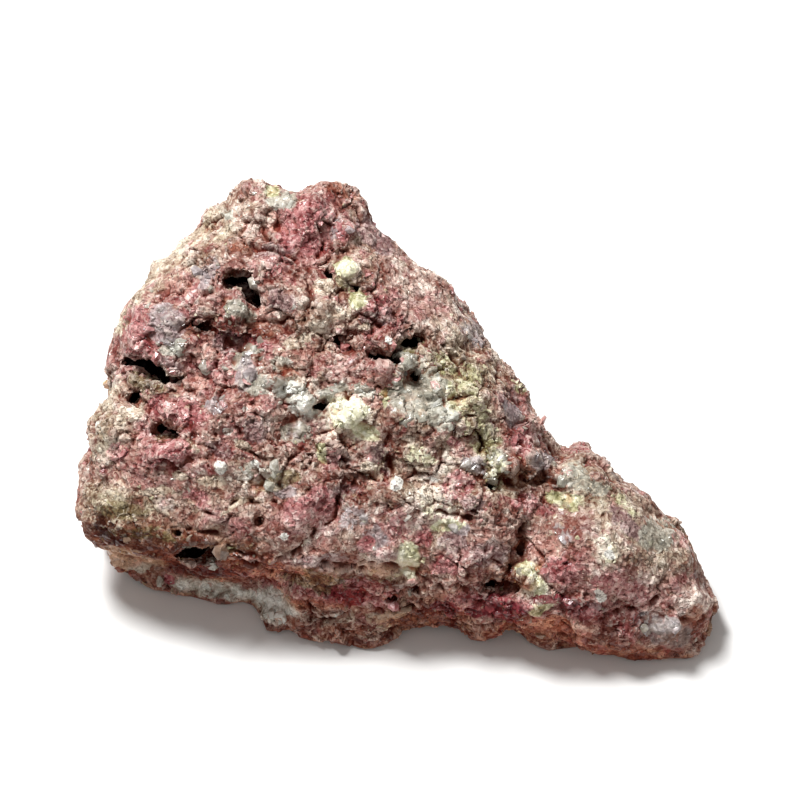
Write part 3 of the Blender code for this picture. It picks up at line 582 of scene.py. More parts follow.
def inZones(across, up, places, soft):
    # 1 inside a place, falling off over its soft rim
    best = np.zeros(len(across))
    for midAcross, midUp, long, wide, turn, *strength in places:
        turned = math.radians(turn)
        a, b = across - midAcross, up - midUp
        along = (a * math.cos(turned) + b * math.sin(turned)) / long
        beside = (b * math.cos(turned) - a * math.sin(turned)) / wide
        reach = np.sqrt(along * along + beside * beside)
        inside = np.clip((1 + soft - reach) / (2 * soft), 0, 1)
        best = np.maximum(best, inside * strength[0] if strength else inside)
    return best


# Away from the broad face each mineral lies in patches: their size in mm, seed, and how rare they are
strewn = {
    "quartz": (4.5, 21.0, 0.36), "lavender": (3.6, 27.0, 0.42), "epidote": (4.0, 33.0, 0.46),
    "mottled": (5.0, 39.0, 0.36), "cream": (3.2, 57.0, 0.36), "white": (1.6, 61.0, 0.56),
    "rose": (4.5, 45.0, 0.26), "salmon": (4.0, 49.0, 0.26), "mauve": (4.4, 65.0, 0.24),
    "crimson": (3.6, 69.0, 0.50), "rust": (3.4, 73.0, 0.44), "olive": (6.0, 81.0, 0.30),
    "worn": (12.0, 93.0, 0.15),
}


def markZones(mesh):
    # how much of each mineral and finish is at each point
    points, normals = readPoints(mesh), readNormals(mesh)
    across, up, out = toFace(points)
    # 1 on the broad face and round its rim, 0 behind
    faced = np.clip((facing(mesh) + 0.25) / 0.4, 0, 1) * np.clip((out + 22) / 3, 0, 1)
    # the rims of the zones wander by about half a millimetre
    broad, ragged = wander(points, 2.6, 5.3), wander(points, 1.1, 3.1)
    other = wander(points, 2.6, 9.7)
    across = across + 0.55 * broad + 0.28 * ragged
    up = up + 0.55 * other - 0.28 * ragged
    for kind, places in zones.items():
        wave, seed, over = strewn[kind]
        placed = inZones(across, up, places, 0.35) * faced
        spread = np.clip((wander(points, wave, seed) + 0.35 * ragged - over) / 0.2, 0, 1)
        writeValue(mesh, kind, np.maximum(placed, spread * (1.0 - 0.8 * faced)))
    for number, (kind, places) in enumerate(washes.items()):
        placed = inZones(across, up, places, 0.45) * faced
        spread = np.clip(1.6 * wander(points, 8.0, 101.0 + 7 * number), 0, 0.8)
        writeValue(mesh, kind, np.maximum(placed, spread * (1 - faced)))
    broken = np.clip(0.55 + 1.7 * wander(points, 1.3, 15.9), 0, 1)
    writeValue(mesh, "crevice", nearPaths(across, up, crevices) * faced * broken)
    # what is low and turned down, where painted shade darkens the rock
    low = np.clip((19 - points[:, 2] / mm) / 7, 0, 1)
    writeValue(mesh, "under", np.clip((0.50 - normals[:, 2]) / 0.6, 0, 1) * low)


# The lump: the model's own surface, with ragged hollows cut in it, broken into facets and grains

# lengths in mm; the names with a capital are the tree's inputs
lump = {
    "firstStep": 0.36,  # where the hollows are cut
    "step": 0.22,  # before thinning
    "triangles": 196000,
    "Cluster size": 2.3,
    "Cluster height": 0.8,
    "Block size": 3.4,
    "Block height": 0.50,
    "Block tilt": 0.26,
    "Lump size": 1.45,
    "Lump height": 0.30,
    "Lump tilt": 0.30,
    "Grain size": 0.58,
    "Grain height": 0.13,
    "Grain tilt": 0.35,
    "Crack depth": 0.35,
    "Crevice depth": 0.75,
    "Waver": 0.9,
    "Worn share": 0.35,
    "backEase": 0.65,
    "sharpAngle": 32,  # degrees
    "hollowSeed": 12,
    "hollowStep": 0.2,
    "hollowSpacing": 0.7,  # from blob to blob, as a share of the half width
    "hollowJolt": 0.45,  # likewise
}


def namedValue(tree, name, kind="FLOAT"):
    return make(tree, "GeometryNodeInputNamedAttribute", {"data_type": kind}, {"Name": name})


def cells(rest, size, output, feature="F1"):
    # cells of this size in mm, each with its own colour
    sockets = {"Vector": rest, "Scale": 1 / size}
    return make(rest.tree, "ShaderNodeTexVoronoi", {"feature": feature}, sockets, output)


def facetHeight(rest, size, height, tilt):
    # every cell is one flat facet at its own height and slant, in mm
    chance = cells(rest, size, "Color")
    away = vectorMaths(rest.tree, "SUBTRACT", rest, chance.out("Position"))
    slant = vectorMaths(rest.tree, "SUBTRACT", chance, (0.5, 0.5, 0.5))
    return (chanceOf(chance, 0) - 0.5) * height + dotProduct(away, slant) * tilt


def chanceOf(colour, channel):
    # one of the three random numbers in a cell's colour
    return make(colour.tree, "ShaderNodeSeparateXYZ", {}, {0: colour}, channel)


def crumbleTree():
    names = [name for name in lump if name[0].isupper()]
    tree, inputs = newGeometryTree("crumble", {name: 0.0 for name in names})
    place = vectorMaths(tree, "SCALE", make(tree, "GeometryNodeInputPosition"), 1 / mm)
    waver = make(tree, "ShaderNodeTexNoise", {}, {"Vector": place, "Scale": 0.8, "Detail": 3.0}, "Color")
    waver = vectorMaths(tree, "SUBTRACT", waver, (0.5, 0.5, 0.5))
    rest = vectorMaths(tree, "ADD", place, vectorMaths(tree, "SCALE", waver, inputs["Waver"]))

    def facets(name):
        sizes = [inputs[name + " " + part] for part in ("size", "height", "tilt")]
        return facetHeight(rest, *sizes)

    blocks, lumps, grains = facets("Block"), facets("Lump"), facets("Grain")
    opened = make(tree, "ShaderNodeTexNoise", {}, {"Vector": rest, "Scale": 0.35, "Detail": 1.0})
    middle = cells(rest, inputs["Cluster size"], "Distance")
    domes = (0.4 - middle * middle) * inputs["Cluster height"] * opened.ramp(0.30, 0.60)
    edge = cells(rest, inputs["Block size"], "Distance", "DISTANCE_TO_EDGE")
    cracks = (1 - edge.ramp(0.0, 0.10)) * opened.ramp(0.45, 0.62) * inputs["Crack depth"]
    height = make(tree, "ShaderNodeSeparateXYZ", {}, {0: place}, 2)
    loose = (1 - namedValue(tree, "worn") * (1 - inputs["Worn share"])) * height.ramp(0.0, 1.2)
    deep = namedValue(tree, "crevice") * inputs["Crevice depth"] * height.ramp(0.0, 1.2)
    smooth = namedValue(tree, "quartz").atLeast(namedValue(tree, "lavender"))
    raised = (blocks + lumps * (1 - smooth * 0.2) + domes * (1 - smooth * 0.85) - cracks) * loose
    raised = raised + grains * (1 - smooth * 0.5) * height.ramp(0.0, 0.8) - deep
    push = vectorMaths(tree, "SCALE", make(tree, "GeometryNodeInputNormal"), raised * mm)
    kept = storeValue(inputs["Geometry"], "rest", rest, "FLOAT_VECTOR")
    return endTree(make(tree, "GeometryNodeSetPosition", {}, {"Geometry": kept, "Offset": push}))


# how many times places are averaged, for small and for wide dips
reaches = {"Near": 4, "Wide": 30}


def cavityTree():
    # how far each point lies below its near and wider surroundings, in mm, which sets the painted shade in
    # dips and valleys
    tree, inputs = newGeometryTree("cavity", reaches)
    place = make(tree, "GeometryNodeInputPosition")
    normal = make(tree, "GeometryNodeInputNormal")
    geometry = inputs["Geometry"]
    for name, reach in (("cavity", inputs["Near"]), ("valley", inputs["Wide"])):
        sockets = {"Value": place, "Iterations": reach}
        around = make(tree, "GeometryNodeBlurAttribute", {"data_type": "FLOAT_VECTOR"}, sockets, "Value")
        below = dotProduct(vectorMaths(tree, "SUBTRACT", around, place), normal)
        geometry = storeValue(geometry, name, below / mm)
    return endTree(geometry)


def hollowCutter(skin):
    # many small uneven blobs along each hollow, from above the skin down to its depth
    chance = np.random.default_rng(lump["hollowSeed"])
    work = bmesh.new()
    bmesh.ops.create_icosphere(work, subdivisions=1, radius=mm)
    ball = np.array([corner.co for corner in work.verts])
    sides = [[corner.index for corner in side.verts] for side in work.faces]
    work.free()
    points, faces = [], []
    for path, width, depth in hollows:
        for (ax, ay), (bx, by) in zip(path, path[1:]):
            steps = max(2, round(math.hypot(bx - ax, by - ay) / (lump["hollowSpacing"] * width)))
            for step in range(steps + 1):
                share = step / steps
                above = fromFace(ax + (bx - ax) * share, ay + (by - ay) * share, 30)
                hit = skin.ray_cast(above, -outOfFace)[0]
                if hit is None:
                    continue
                for level in np.arange(-0.8, depth, lump["hollowSpacing"] * width):
                    jolt = chance.uniform(-lump["hollowJolt"], lump["hollowJolt"], 3) * width
                    # narrower near the bottom
                    size = width * chance.uniform(0.6, 1.15) * (1.0 if level < depth * 0.6 else 0.75)
                    middle = np.array(hit - outOfFace * (level * mm)) + jolt * mm
                    faces.extend([corner + len(points) * len(ball) for corner in side] for side in sides)
                    points.append(ball * size + middle)
    mesh = bpy.data.meshes.new("hollows")
    mesh.from_pydata(np.concatenate(points).tolist(), [], faces)
    return modified(mesh, "hollows", "REMESH", mode="VOXEL", voxel_size=lump["hollowStep"] * mm)


def makeLump():
    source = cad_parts["piemontite_rock"].data.copy()
    work = bmesh.new()
    work.from_mesh(source)
    bmesh.ops.remove_doubles(work, verts=work.verts, dist=1e-6)
    work.to_mesh(source)
    work.free()
    mesh = modified(source, "lump", "REMESH", mode="VOXEL", voxel_size=lump["firstStep"] * mm)
    mesh = modified(mesh, "lump", "SMOOTH", factor=0.5, iterations=2)
    writePoints(mesh, nudged(readPoints(mesh)))
    mesh.calc_loop_triangles()
    skin = BVHTree.FromPolygons([v.co for v in mesh.vertices], [p.vertices for p in mesh.polygons])
    cutter = newObject("hollowCutter", hollowCutter(skin))
    mesh = modified(mesh, "lump", "BOOLEAN", operation="DIFFERENCE", solver="MANIFOLD", object=cutter)
    bpy.data.objects.remove(cutter)
    print("hollows cut:", triangleCount(mesh), "triangles")
    mesh = modified(mesh, "lump", "REMESH", mode="VOXEL", voxel_size=lump["step"] * mm)
    markZones(mesh)
    # how far below the model's skin each point lies, for the painted shade in the hollows
    depth = [skin.find_nearest(point)[3] for point in map(Vector, readPoints(mesh))]
    writeValue(mesh, "deep", np.array(depth) / mm)
    mesh = runTree(mesh, crumbleTree(), lump, "lump")
    print("broken up:", triangleCount(mesh), "triangles")
    # the broad face is thinned least
    ratio = min(1.0, lump["triangles"] / triangleCount(mesh))
    weights = np.clip(0.9 - 1.6 * facing(mesh), 0.05, 1)
    mesh = modified(mesh, "lump", "DECIMATE", ratio=ratio, weights=weights)
    keepAboveFloor(mesh)
    mesh = runTree(mesh, cavityTree(), reaches, "lump")
    # the back has larger triangles, over which the same dip reads as deeper
    back = np.clip(-2.5 * facing(mesh), 0, 1)
    for name in ("cavity", "valley"):
        writeValue(mesh, name, readValue(mesh, name) * (1 - lump["backEase"] * back))
    mesh.shade_smooth()
    mesh.set_sharp_from_angle(angle=math.radians(lump["sharpAngle"]))
    return mesh


lumpMesh = makeLump()
print("lump:", triangleCount(lumpMesh), "triangles")


# Colours

# each mineral from its darkest grains to its palest
colours = {
    "pink": [(0.085, 0.009, 0.004), (0.215, 0.084, 0.062), (0.428, 0.288, 0.240), (0.800, 0.705, 0.620)],
    "tan": [(0.052, 0.018, 0.006), (0.205, 0.148, 0.090), (0.448, 0.388, 0.275), (0.800, 0.745, 0.610)],
    "rose": [(0.105, 0.006, 0.007), (0.272, 0.074, 0.076), (0.498, 0.236, 0.230), (0.810, 0.625, 0.575)],
    "salmon": [(0.100, 0.025, 0.015), (0.300, 0.120, 0.094), (0.520, 0.290, 0.240), (0.840, 0.650, 0.560)],
    "mauve": [(0.050, 0.015, 0.016), (0.160, 0.082, 0.082), (0.320, 0.205, 0.198), (0.620, 0.490, 0.470)],
    "crimson": [(0.050, 0.002, 0.005), (0.150, 0.012, 0.022), (0.290, 0.050, 0.060), (0.520, 0.220, 0.210)],
    "quartz": [(0.125, 0.104, 0.074), (0.300, 0.282, 0.226), (0.470, 0.460, 0.386), (0.860, 0.865, 0.800)],
    "lavender": [(0.090, 0.062, 0.062), (0.245, 0.195, 0.195), (0.420, 0.365, 0.370), (0.820, 0.780, 0.780)],
    "epidote": [(0.086, 0.070, 0.020), (0.338, 0.322, 0.160), (0.665, 0.655, 0.435), (0.915, 0.905, 0.735)],
    "cream": [(0.120, 0.078, 0.046), (0.400, 0.310, 0.225), (0.660, 0.560, 0.440), (0.900, 0.830, 0.710)],
    "olive": [(0.022, 0.013, 0.003), (0.092, 0.064, 0.022), (0.205, 0.160, 0.066), (0.410, 0.345, 0.195)],
    "brown": [(0.026, 0.004, 0.001), (0.098, 0.030, 0.011), (0.215, 0.094, 0.045), (0.430, 0.275, 0.170)],
    "rust": [(0.040, 0.005, 0.002), (0.140, 0.030, 0.014), (0.280, 0.090, 0.052), (0.500, 0.270, 0.190)],
}
stopPlaces = (0.05, 0.35, 0.65, 0.95)
# apart from white and thread, these are painted shade: in valleys, in dips and between grains, in pits, deep
# in the hollows and on the low, turned-down side
shades = {
    "white": (0.80, 0.79, 0.73),
    "thread": (0.70, 0.60, 0.45),
    "recessShade": (0.84, 0.41, 0.30),
    "gapAndDipShade": (0.088, 0.007, 0.003),
    "pitShade": (0.030, 0.008, 0.003),
    "hollowShade": (0.008, 0.0015, 0.0008),
    "underShade": (0.85, 0.49, 0.345),
}

lumpFinish = {
    "sugar": 0.27,  # mm
    "sugarHeight": 0.07,
    "sugarTilt": 0.9,
    "grainTone": 0.24,
    "crystalTone": 0.24,
    "sugarTone": 0.22,
    "cloudTones": ((0.7, 3.0, 0.60), (1.9, 2.0, 0.62), (3.0, 2.0, 0.55)),  # mm, detail, weight
    # how far the pale wash lightens and the dim wash darkens, partly as painted light and painted shade
    "paleTone": 0.19,
    "dimTone": 0.26,
    "dull": 0.80,
    "bright": 0.28,
    "specular": 0.08,
    "coat": 0.5,
    "contrast": 1.12,
}


def attribute(tree, name, output="Fac"):
    return make(tree, "ShaderNodeAttribute", {"attribute_name": name}, {}, output)


def clearness(tree):
    return attribute(tree, "quartz").atLeast(attribute(tree, "lavender"))


def patches(rest, size, detail=2.0):
    # soft clouds of this size in mm
    return make(rest.tree, "ShaderNodeTexNoise", {}, {"Vector": rest, "Scale": 1 / size, "Detail": detail})


# clouds that spread the colours: size in mm, where each begins and is full, and its detail
clouds = {
    "tan": (1.8, 0.28, 0.52), "yellowish": (2.1, 0.56, 0.70), "bluish": (2.9, 0.56, 0.68),
    "rosy": (2.4, 0.52, 0.64), "roseBreaks": (1.5, 0.30, 0.55), "threaded": (3.0, 0.38, 0.56),
    "brownGaps": (2.2, 0.42, 0.58), "pits": (0.5, 0.63, 0.70, 3.0), "pitted": (3.6, 0.42, 0.60),
}


def cloud(rest, name):
    size, low, high, *detail = clouds[name]
    return patches(rest, size, *detail).ramp(low, high)


# painted shade that darkens the rock and the crystals in dips, valleys, crevices and deep in the hollows:
# the value read, where this begins and is full, its strength
shading = {
    "recessShade": ("valley", 0.02, 0.45, 0.9), "dip": ("cavity", 0.02, 0.16, 0.74),
    "valley": ("valley", 0.12, 0.60, 0.80), "crevice": ("crevice", 0.40, 0.95, 0.85),
    "depth": ("deep", 0.35, 1.3, 1.0), "crystalDip": ("cavity", 0.03, 0.2, 0.4),
    "crystalValley": ("valley", 0.15, 0.7, 0.5), "crystalDepth": ("deep", 0.6, 1.8, 0.92),
}


def shaded(tree, name):
    source, low, high, strength = shading[name]
    return attribute(tree, source).ramp(low, high) * strength


def cellChance(rest, size, channel):
    # a random number for each cell of this size
    return chanceOf(cells(rest, size, "Color"), channel)


def lightness(rest, tone):
    # how pale each grain is: its own chance, its crystal's, its sugary faces' and smooth patches
    crystal = cellChance(rest, lump["Lump size"], 1)
    sugar = cellChance(rest, lumpFinish["sugar"], 0)
    tree, finish = rest.tree, lumpFinish
    smooth = clearness(tree).atLeast(attribute(tree, "worn") * 0.5)
    grains = (tone - 0.5) * finish["grainTone"] + (crystal - 0.5) * finish["crystalTone"]
    grains = grains + (sugar - 0.5) * finish["sugarTone"]
    mixed = grains * (1 - smooth * 0.55)
    for size, detail, weight in finish["cloudTones"]:
        mixed = mixed + (patches(rest, size, detail) - 0.5) * weight
    mixed = mixed + (patches(rest, 0.45, 3.0) - 0.5) * smooth * (0.5 - 0.3 * attribute(tree, "under"))
    # the pale wash adds paler rock and painted light, the dim wash darker rock and painted shade
    washed = attribute(tree, "paleWash") * finish["paleTone"]
    washed = washed - attribute(tree, "dimWash") * finish["dimTone"]
    return mixed * finish["contrast"] + washed + 0.5


def mineral(name, mixed):
    stops = list(zip(stopPlaces, colours[name]))
    return make(mixed.tree, "ShaderNodeValToRGB", {"stops": stops}, {0: mixed}, "Color")


def grained(name, tone, spread, low, high):
    # whole grains take a zone's colour, so that its rim is broken
    return (attribute(tone.tree, name) + (tone - 0.5) * spread).ramp(low, high)


# how each zone is laid over the rock: how far its rim is broken, and its strength
layers = {
    "salmon": (0.4, 0.85), "mauve": (0.5, 0.85), "cream": (0.5, 0.85), "quartz": (0.45, 0.85),
    "lavender": (0.45, 0.75), "epidote": (0.35, 0.95), "rose": (0.3, 0.92), "crimson": (0.3, 0.95),
    "rust": (0.5, 0.80), "olive": (0.5, 0.75),
}


def stoneColour(rest, tone):
    # the colour of the grain at this place, its own random number being tone
    tree, mixed = rest.tree, lightness(rest, tone)
    colour = mineral("pink", mixed)
    tan = attribute(tree, "tanWash") * cloud(rest, "tan")
    colour = mixColours(tan, colour, mineral("tan", mixed))
    yellowish = cloud(rest, "yellowish") * (1 - attribute(tree, "roseWash")) * 0.55
    colour = mixColours(yellowish, colour, mineral("cream", mixed - 0.08))
    bluish = cloud(rest, "bluish") * (1 - tan) * 0.5
    colour = mixColours(bluish, colour, mineral("mauve", mixed + 0.06))
    rosy = (cloud(rest, "rosy") * (0.75 - 0.6 * tan)).atLeast(attribute(tree, "roseWash"))
    colour = mixColours(rosy * cloud(rest, "roseBreaks"), colour, mineral("rose", mixed))
    # the brown wash: partly the rock's own brown, partly painted shade
    colour = mixColours(attribute(tree, "brownWash"), colour, mineral("brown", mixed))
    for name, (spread, strength) in layers.items():
        share = grained(name, tone, spread, 0.30, 0.62) * strength
        colour = mixColours(share, colour, mineral(name, mixed))
    mottled = (cellChance(rest, lump["Lump size"], 2) * 0.5 + tone * 0.5).ramp(0.30, 0.60)
    mottled = mixColours(mottled, mineral("tan", mixed - 0.10), mineral("epidote", mixed - 0.12))
    colour = mixColours(grained("mottled", tone, 0.6, 0.3, 0.7) * 0.85, colour, mottled)
    colour = mixColours(grained("white", tone, 0.3, 0.3, 0.6), colour, shades["white"])
    # pale threads, where a cloud passes its middle value
    off = patches(rest, 1.3) - 0.5
    threads = 1 - off.maths("ABSOLUTE", off).ramp(0.008, 0.030)
    threads = threads * (0.14 + 0.70 * tan) * (1 - attribute(tree, "under") * 0.8)
    threads = threads * cloud(rest, "threaded")
    colour = mixColours(threads, colour, shades["thread"])
    # painted shade: darker and browner on the low, turned-down side
    paintedUnderShade = attribute(tree, "under") * (1 - 0.08 * attribute(tree, "quartz"))
    return mixColours(paintedUnderShade, colour, shades["underShade"], "MULTIPLY")


def newMaterial(name):
    material = bpy.data.materials.new(name)
    material.use_nodes = True
    return material, material.node_tree, material.node_tree.nodes["Principled BSDF"]


def setShader(tree, shader, values):
    for name, value in values.items():
        if isinstance(value, Wire):
            tree.links.new(value.socket, shader.inputs[name])
        else:
            shader.inputs[name].default_value = value


def lumpMaterial():
    material, tree, shader = newMaterial("granularRock")
    rest = attribute(tree, "rest", "Vector")
    chances = cells(rest, lump["Grain size"], "Color")
    tone = chanceOf(chances, 0)
    colour = stoneColour(rest, tone)
    # painted shade: a red-brown darkening in the valleys
    colour = mixColours(shaded(tree, "recessShade"), colour, shades["recessShade"], "MULTIPLY")
    fine = patches(rest, 0.2, 3.0)
    # painted highlight: edges that stand out are made pale, as if lit
    paintedEdgeLight = (0 - attribute(tree, "cavity")).ramp(0.02, 0.14) * (0.3 - attribute(tree, "under") * 0.2)
    colour = mixColours(paintedEdgeLight, colour, colours["pink"][3])
    # painted shade in dips, valleys, crevices and the gaps between grains, less on pale minerals
    paintedShade = shaded(tree, "dip").atLeast(shaded(tree, "valley")).atLeast(shaded(tree, "crevice"))
    edges = cells(rest, lump["Grain size"], "Distance", "DISTANCE_TO_EDGE")
    gaps = (1 - edges.ramp(0.0, 0.13)) * fine.ramp(0.42, 0.60)
    pale = clearness(tree).atLeast(attribute(tree, "epidote") * 1.25)
    paintedShade = paintedShade.atLeast(gaps * 0.80) * (1 - 0.75 * pale)
    # painted shade: small dark spots stand in for shaded pits
    pits = cloud(rest, "pits") * cloud(rest, "pitted") * (1 - pale)
    shadeColour = mixColours(cloud(rest, "brownGaps"), shades["gapAndDipShade"], colours["brown"][0])
    colour = mixColours(paintedShade, colour, shadeColour)
    colour = mixColours(pits * 0.85, colour, shades["pitShade"])
    # painted shade: black deep down in the hollows
    colour = mixColours(shaded(tree, "depth"), colour, shades["hollowShade"])
    sizes = [lumpFinish[name] for name in ("sugar", "sugarHeight", "sugarTilt")]
    height = facetHeight(rest, *sizes) + fine * 0.06
    bump = make(tree, "ShaderNodeBump", {}, {"Strength": 1.0, "Distance": mm, "Height": height})
    shine = chanceOf(chances, 2).ramp(0.55, 0.95)
    rough = lumpFinish["dull"] - shine * (lumpFinish["dull"] - lumpFinish["bright"])
    setShader(tree, shader, {
        "Base Color": colour, "Roughness": rough, "Normal": bump, "IOR": 1.6,
        "Specular IOR Level": lumpFinish["specular"], "Coat Roughness": lumpFinish["bright"],
        "Coat Weight": shine * (1 - paintedShade) * lumpFinish["coat"],
    })
    return material


def withoutSpecks(mesh):
    # thinning can leave single triangles that are joined to nothing
    work = bmesh.new()
    work.from_mesh(mesh)
    specks = []
    for side in work.faces:
        corners = set(side.verts)
        if all(set(other.verts) == corners for edge in side.edges for other in edge.link_faces):
            specks.append(side)
    bmesh.ops.delete(work, geom=specks, context="FACES")
    work.to_mesh(mesh)
    work.free()
    print("loose triangles dropped:", len(specks))
    return mesh


def addPiece(name, mesh, replaced=()):
    piece = newObject(name, mesh)
    if replaced:
        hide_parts(*replaced)
    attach(piece, "root")
    return piece


lumpMesh.materials.clear()
lumpMesh.materials.append(lumpMaterial())
addPiece("granularLump", withoutSpecks(lumpMesh.copy()), ["piemontite_rock"])


# Crystals set in the lump, one piece for each kind

# lengths in mm, density in crystals to a square mm, sink as a share of the size
chipShapes = 6
# each kind's strength of painted shade in dips and valleys is given with its colours
crystalKinds = {
    "pinkCrystals": {
        "slot": "rock", "seed": 4, "corners": 12,
        "minerals": ("pink", "rose"), "ownColour": 0.0, "paler": 0.0, "shadeInDips": 1.0,
        "gloss": 0.38, "specular": 0.35, "clear": 0.0,
        "sizes": {"Density": 1.6, "Smallest": 0.20, "Largest": 0.48, "Stretch": 0.3, "Sink": 0.70},
    },
    "roseCrystals": {
        "slot": "piemontite", "seed": 23, "corners": 12,
        "minerals": ("rose", "crimson"), "ownColour": 0.7, "paler": 0.05, "shadeInDips": 0.8,
        "gloss": 0.26, "specular": 0.5, "clear": 0.0,
        "sizes": {"Density": 1.3, "Smallest": 0.30, "Largest": 0.75, "Stretch": 0.7, "Sink": 0.72},
    },
    "quartzCrystals": {
        "slot": "quartz", "seed": 37, "corners": 16,
        "minerals": ("quartz", "lavender"), "ownColour": 0.8, "paler": 0.06, "shadeInDips": 0.4,
        "gloss": 0.18, "specular": 0.5, "clear": 0.25,
        "sizes": {"Density": 1.9, "Smallest": 0.35, "Largest": 0.95, "Stretch": 0.4, "Sink": 0.82},
    },
    "epidoteGrains": {
        "slot": "epidote", "seed": 51, "corners": 14,
        "minerals": ("epidote", "cream"), "ownColour": 0.7, "paler": 0.12, "shadeInDips": 0.8,
        "gloss": 0.42, "specular": 0.4, "clear": 0.0,
        "sizes": {"Density": 2.2, "Smallest": 0.20, "Largest": 0.55, "Stretch": 0.3, "Sink": 0.70},
    },
    "paleGrains": {
        "slot": "quartz", "seed": 11, "corners": 8,
        "minerals": ("cream", "quartz"), "ownColour": 0.5, "paler": 0.25, "shadeInDips": 0.5,
        "gloss": 0.25, "specular": 0.5, "clear": 0.0,
        "sizes": {"Density": 0.8, "Smallest": 0.10, "Largest": 0.22, "Stretch": 0.3, "Sink": 0.40},
    },
}


def crystalShare(mesh, kind):
    # where each kind lies, from 0 to 1
    value = {name: readValue(mesh, name) for name in (*zones, "deep", "crevice")}
    points, normals = readPoints(mesh), readNormals(mesh)
    lifted = np.clip((points[:, 2] / mm - 0.9) / 0.5, 0, 1) * np.clip((normals[:, 2] + 0.9) / 0.3, 0, 1)
    shut = np.clip(1.2 - value["deep"] / 1.2, 0.05, 1)  # few down in the hollows
    rough = 1 - 0.85 * value["worn"]
    clear = np.maximum(value["quartz"], value["lavender"])
    yellow = np.maximum(value["epidote"], value["mottled"] * 0.5)
    shares = {
        "pinkCrystals": (1 - 0.85 * clear) * (1 - 0.8 * value["epidote"]) * rough,
        "roseCrystals": np.maximum(value["rose"], value["crimson"]) * rough + 0.03 * rough,
        "quartzCrystals": clear * (0.4 + 0.6 * rough),
        "epidoteGrains": np.maximum(yellow, 0.006),
        "paleGrains": 0.35 + 0.65 * np.maximum(value["cream"], value["white"]),
    }
    return shares[kind] * lifted * shut * (1 - 0.6 * value["crevice"])


def crystalTree(kind, values, corners, material):
    tree, inputs = newGeometryTree(kind, values)
    seed = inputs["Seed"]

    def chance(low, high, number):
        sockets = {"Min_001": low, "Max_001": high, "Seed": seed + number}
        return make(tree, "FunctionNodeRandomValue", {"data_type": "FLOAT"}, sockets, 1)

    def chip(number):
        # the hull of a few random points, so flat faces meet in sharp edges
        line = make(tree, "GeometryNodeMeshLine", {}, {"Count": corners, "Offset": (0, 0, 0.01)})
        sockets = {"Min": (-1, -1, -1), "Max": (1, 1, 1), "Seed": seed * 7 + number}
        spot = make(tree, "FunctionNodeRandomValue", {"data_type": "FLOAT_VECTOR"}, sockets, 0)
        spot = vectorMaths(tree, "NORMALIZE", spot)
        hull = make(tree, "GeometryNodeSetPosition", {}, {"Geometry": line, "Position": spot})
        hull = make(tree, "GeometryNodeConvexHull", {}, {"Geometry": hull})
        return make(tree, "GeometryNodeGeometryToInstance", {}, {0: [hull]})

    sockets = {"Mesh": inputs["Geometry"], "Seed": seed}
    sockets["Density"] = namedValue(tree, "share") * inputs["Density"] * 1e6
    spread = make(tree, "GeometryNodeDistributePointsOnFaces", {"distribute_method": "RANDOM"}, sockets)
    chips = make(tree, "GeometryNodeJoinGeometry", {}, {0: [chip(number) for number in range(chipShapes)]})
    size = inputs["Smallest"] + (inputs["Largest"] - inputs["Smallest"]) * (chance(0.0, 1.0, 1) ** 2.5)
    along = 1 + inputs["Stretch"] * chance(0.3, 1.0, 2)
    sides = {0: chance(0.7, 1.1, 3), 1: chance(0.7, 1.1, 4), 2: along}
    scale = vectorMaths(tree, "SCALE", make(tree, "ShaderNodeCombineXYZ", {}, sides), size * mm)
    # turned any way round
    angles = {axis: chance(0, 6.28, 5 + axis) for axis in range(3)}
    turn = make(tree, "ShaderNodeCombineXYZ", {}, angles)
    turn = make(tree, "FunctionNodeEulerToRotation", {}, {0: turn})
    down = vectorMaths(tree, "SCALE", spread.out("Normal"), 0 - size * inputs["Sink"] * mm)
    points = make(tree, "GeometryNodeSetPosition", {}, {"Geometry": spread, "Offset": down})
    sockets = {"Min_002": 0, "Max_002": chipShapes - 1, "Seed": seed + 9}
    which = make(tree, "FunctionNodeRandomValue", {"data_type": "INT"}, sockets, 2)
    sockets = {"Points": points, "Instance": chips, "Rotation": turn, "Scale": scale}
    sockets.update({"Pick Instance": True, "Instance Index": which})
    crystals = make(tree, "GeometryNodeInstanceOnPoints", {}, sockets)
    crystals = storeValue(crystals, "tone", chance(0, 1, 8), "FLOAT", "INSTANCE")
    crystals = make(tree, "GeometryNodeRealizeInstances", {}, {0: crystals})
    crystals = make(tree, "GeometryNodeSetShadeSmooth", {}, {"Geometry": crystals, "Shade Smooth": False})
    return endTree(make(tree, "GeometryNodeSetMaterial", {}, {"Geometry": crystals, "Material": material}))


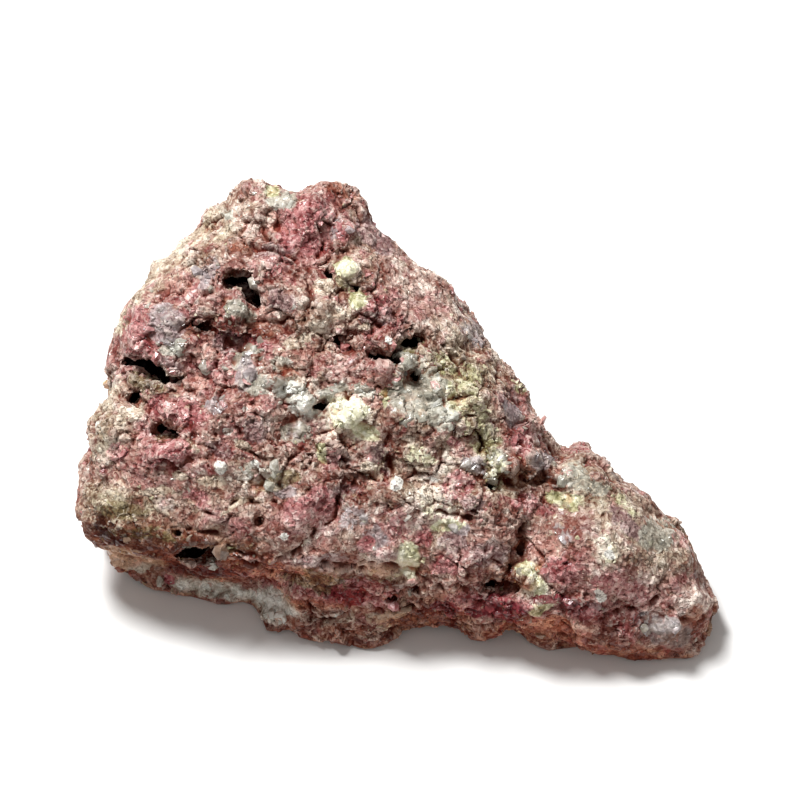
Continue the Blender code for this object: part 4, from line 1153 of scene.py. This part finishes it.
def crystalMaterial(kind, facts):
    material, tree, shader = newMaterial(kind)
    rest = vectorMaths(tree, "SCALE", make(tree, "ShaderNodeTexCoord", {}, {}, "Object"), 1 / mm)
    tone = attribute(tree, "tone")
    mixed = lightness(rest, tone) + facts["paler"]
    first, second = facts["minerals"]
    share = grained(second, tone, 0.6, 0.3, 0.6)
    own = mixColours(share, mineral(first, mixed), mineral(second, mixed))
    # painted shade on the low, turned-down side
    own = mixColours(attribute(tree, "under"), own, shades["underShade"], "MULTIPLY")
    colour = mixColours(facts["ownColour"], stoneColour(rest, tone), own)
    # painted shade in dips and valleys
    paintedShade = shaded(tree, "crystalDip").atLeast(shaded(tree, "crystalValley"))
    colour = mixColours(paintedShade * facts["shadeInDips"], colour, shades["gapAndDipShade"])
    # painted shade: black deep down in the hollows
    colour = mixColours(shaded(tree, "crystalDepth"), colour, shades["hollowShade"])
    sockets = {"Strength": 0.4, "Distance": 0.12 * mm, "Height": patches(rest, 0.2)}
    bump = make(tree, "ShaderNodeBump", {}, sockets)
    setShader(tree, shader, {
        "Base Color": colour, "Roughness": facts["gloss"], "Normal": bump, "IOR": 1.55,
        "Specular IOR Level": facts["specular"], "Transmission Weight": facts["clear"],
    })
    return material


def addCrystals(kind, facts):
    mesh = lumpMesh.copy()
    writeValue(mesh, "share", crystalShare(mesh, kind))
    inputs = {**facts["sizes"], "Seed": facts["seed"]}
    tree = crystalTree(kind, inputs, facts["corners"], crystalMaterial(kind, facts))
    crystals = runTree(mesh, tree, inputs, kind)
    keepAboveFloor(crystals)
    print(kind + ":", triangleCount(crystals), "triangles")
    addPiece(kind, crystals)


for kind, facts in crystalKinds.items():
    addCrystals(kind, facts)


# Floor and light

room = {
    "floor": (0.80, 0.80, 0.79),
    "floorReach": 3,  # m
    "key": 3.36,  # W
    "keySize": 0.13,
    "keyPlace": (-0.14, 0.13, 0.42),
    "fill": 0.38,
    "fillColour": (1, 0.955, 0.93),
}


def addRoom():
    floorMesh = bpy.data.meshes.new("floor")
    reach = room["floorReach"]
    corners = [(-reach, -reach, 0), (reach, -reach, 0), (reach, reach, 0), (-reach, reach, 0)]
    floorMesh.from_pydata(corners, [], [(0, 1, 2, 3)])
    material, tree, shader = newMaterial("paleFloor")
    setShader(tree, shader, {"Base Color": (*room["floor"], 1), "Roughness": 0.9})
    floorMesh.materials.append(material)
    floor = newObject("floor", floorMesh)
    light = bpy.data.lights.new("key", "AREA")
    light.energy = room["key"]
    light.size = room["keySize"]
    key = newObject("key", light)
    key.location = room["keyPlace"]
    key.rotation_euler = (Vector((0, 0, 0.01)) - key.location).to_track_quat("-Z", "Y").to_euler()
    world = bpy.data.worlds.new("studio")
    world.use_nodes = True
    world.node_tree.nodes["Background"].inputs[0].default_value = (*room["fillColour"], 1)
    world.node_tree.nodes["Background"].inputs[1].default_value = room["fill"]
    scene.world = world
    scene.view_settings.view_transform = "Standard"


addRoom()
print("floor and lights added")
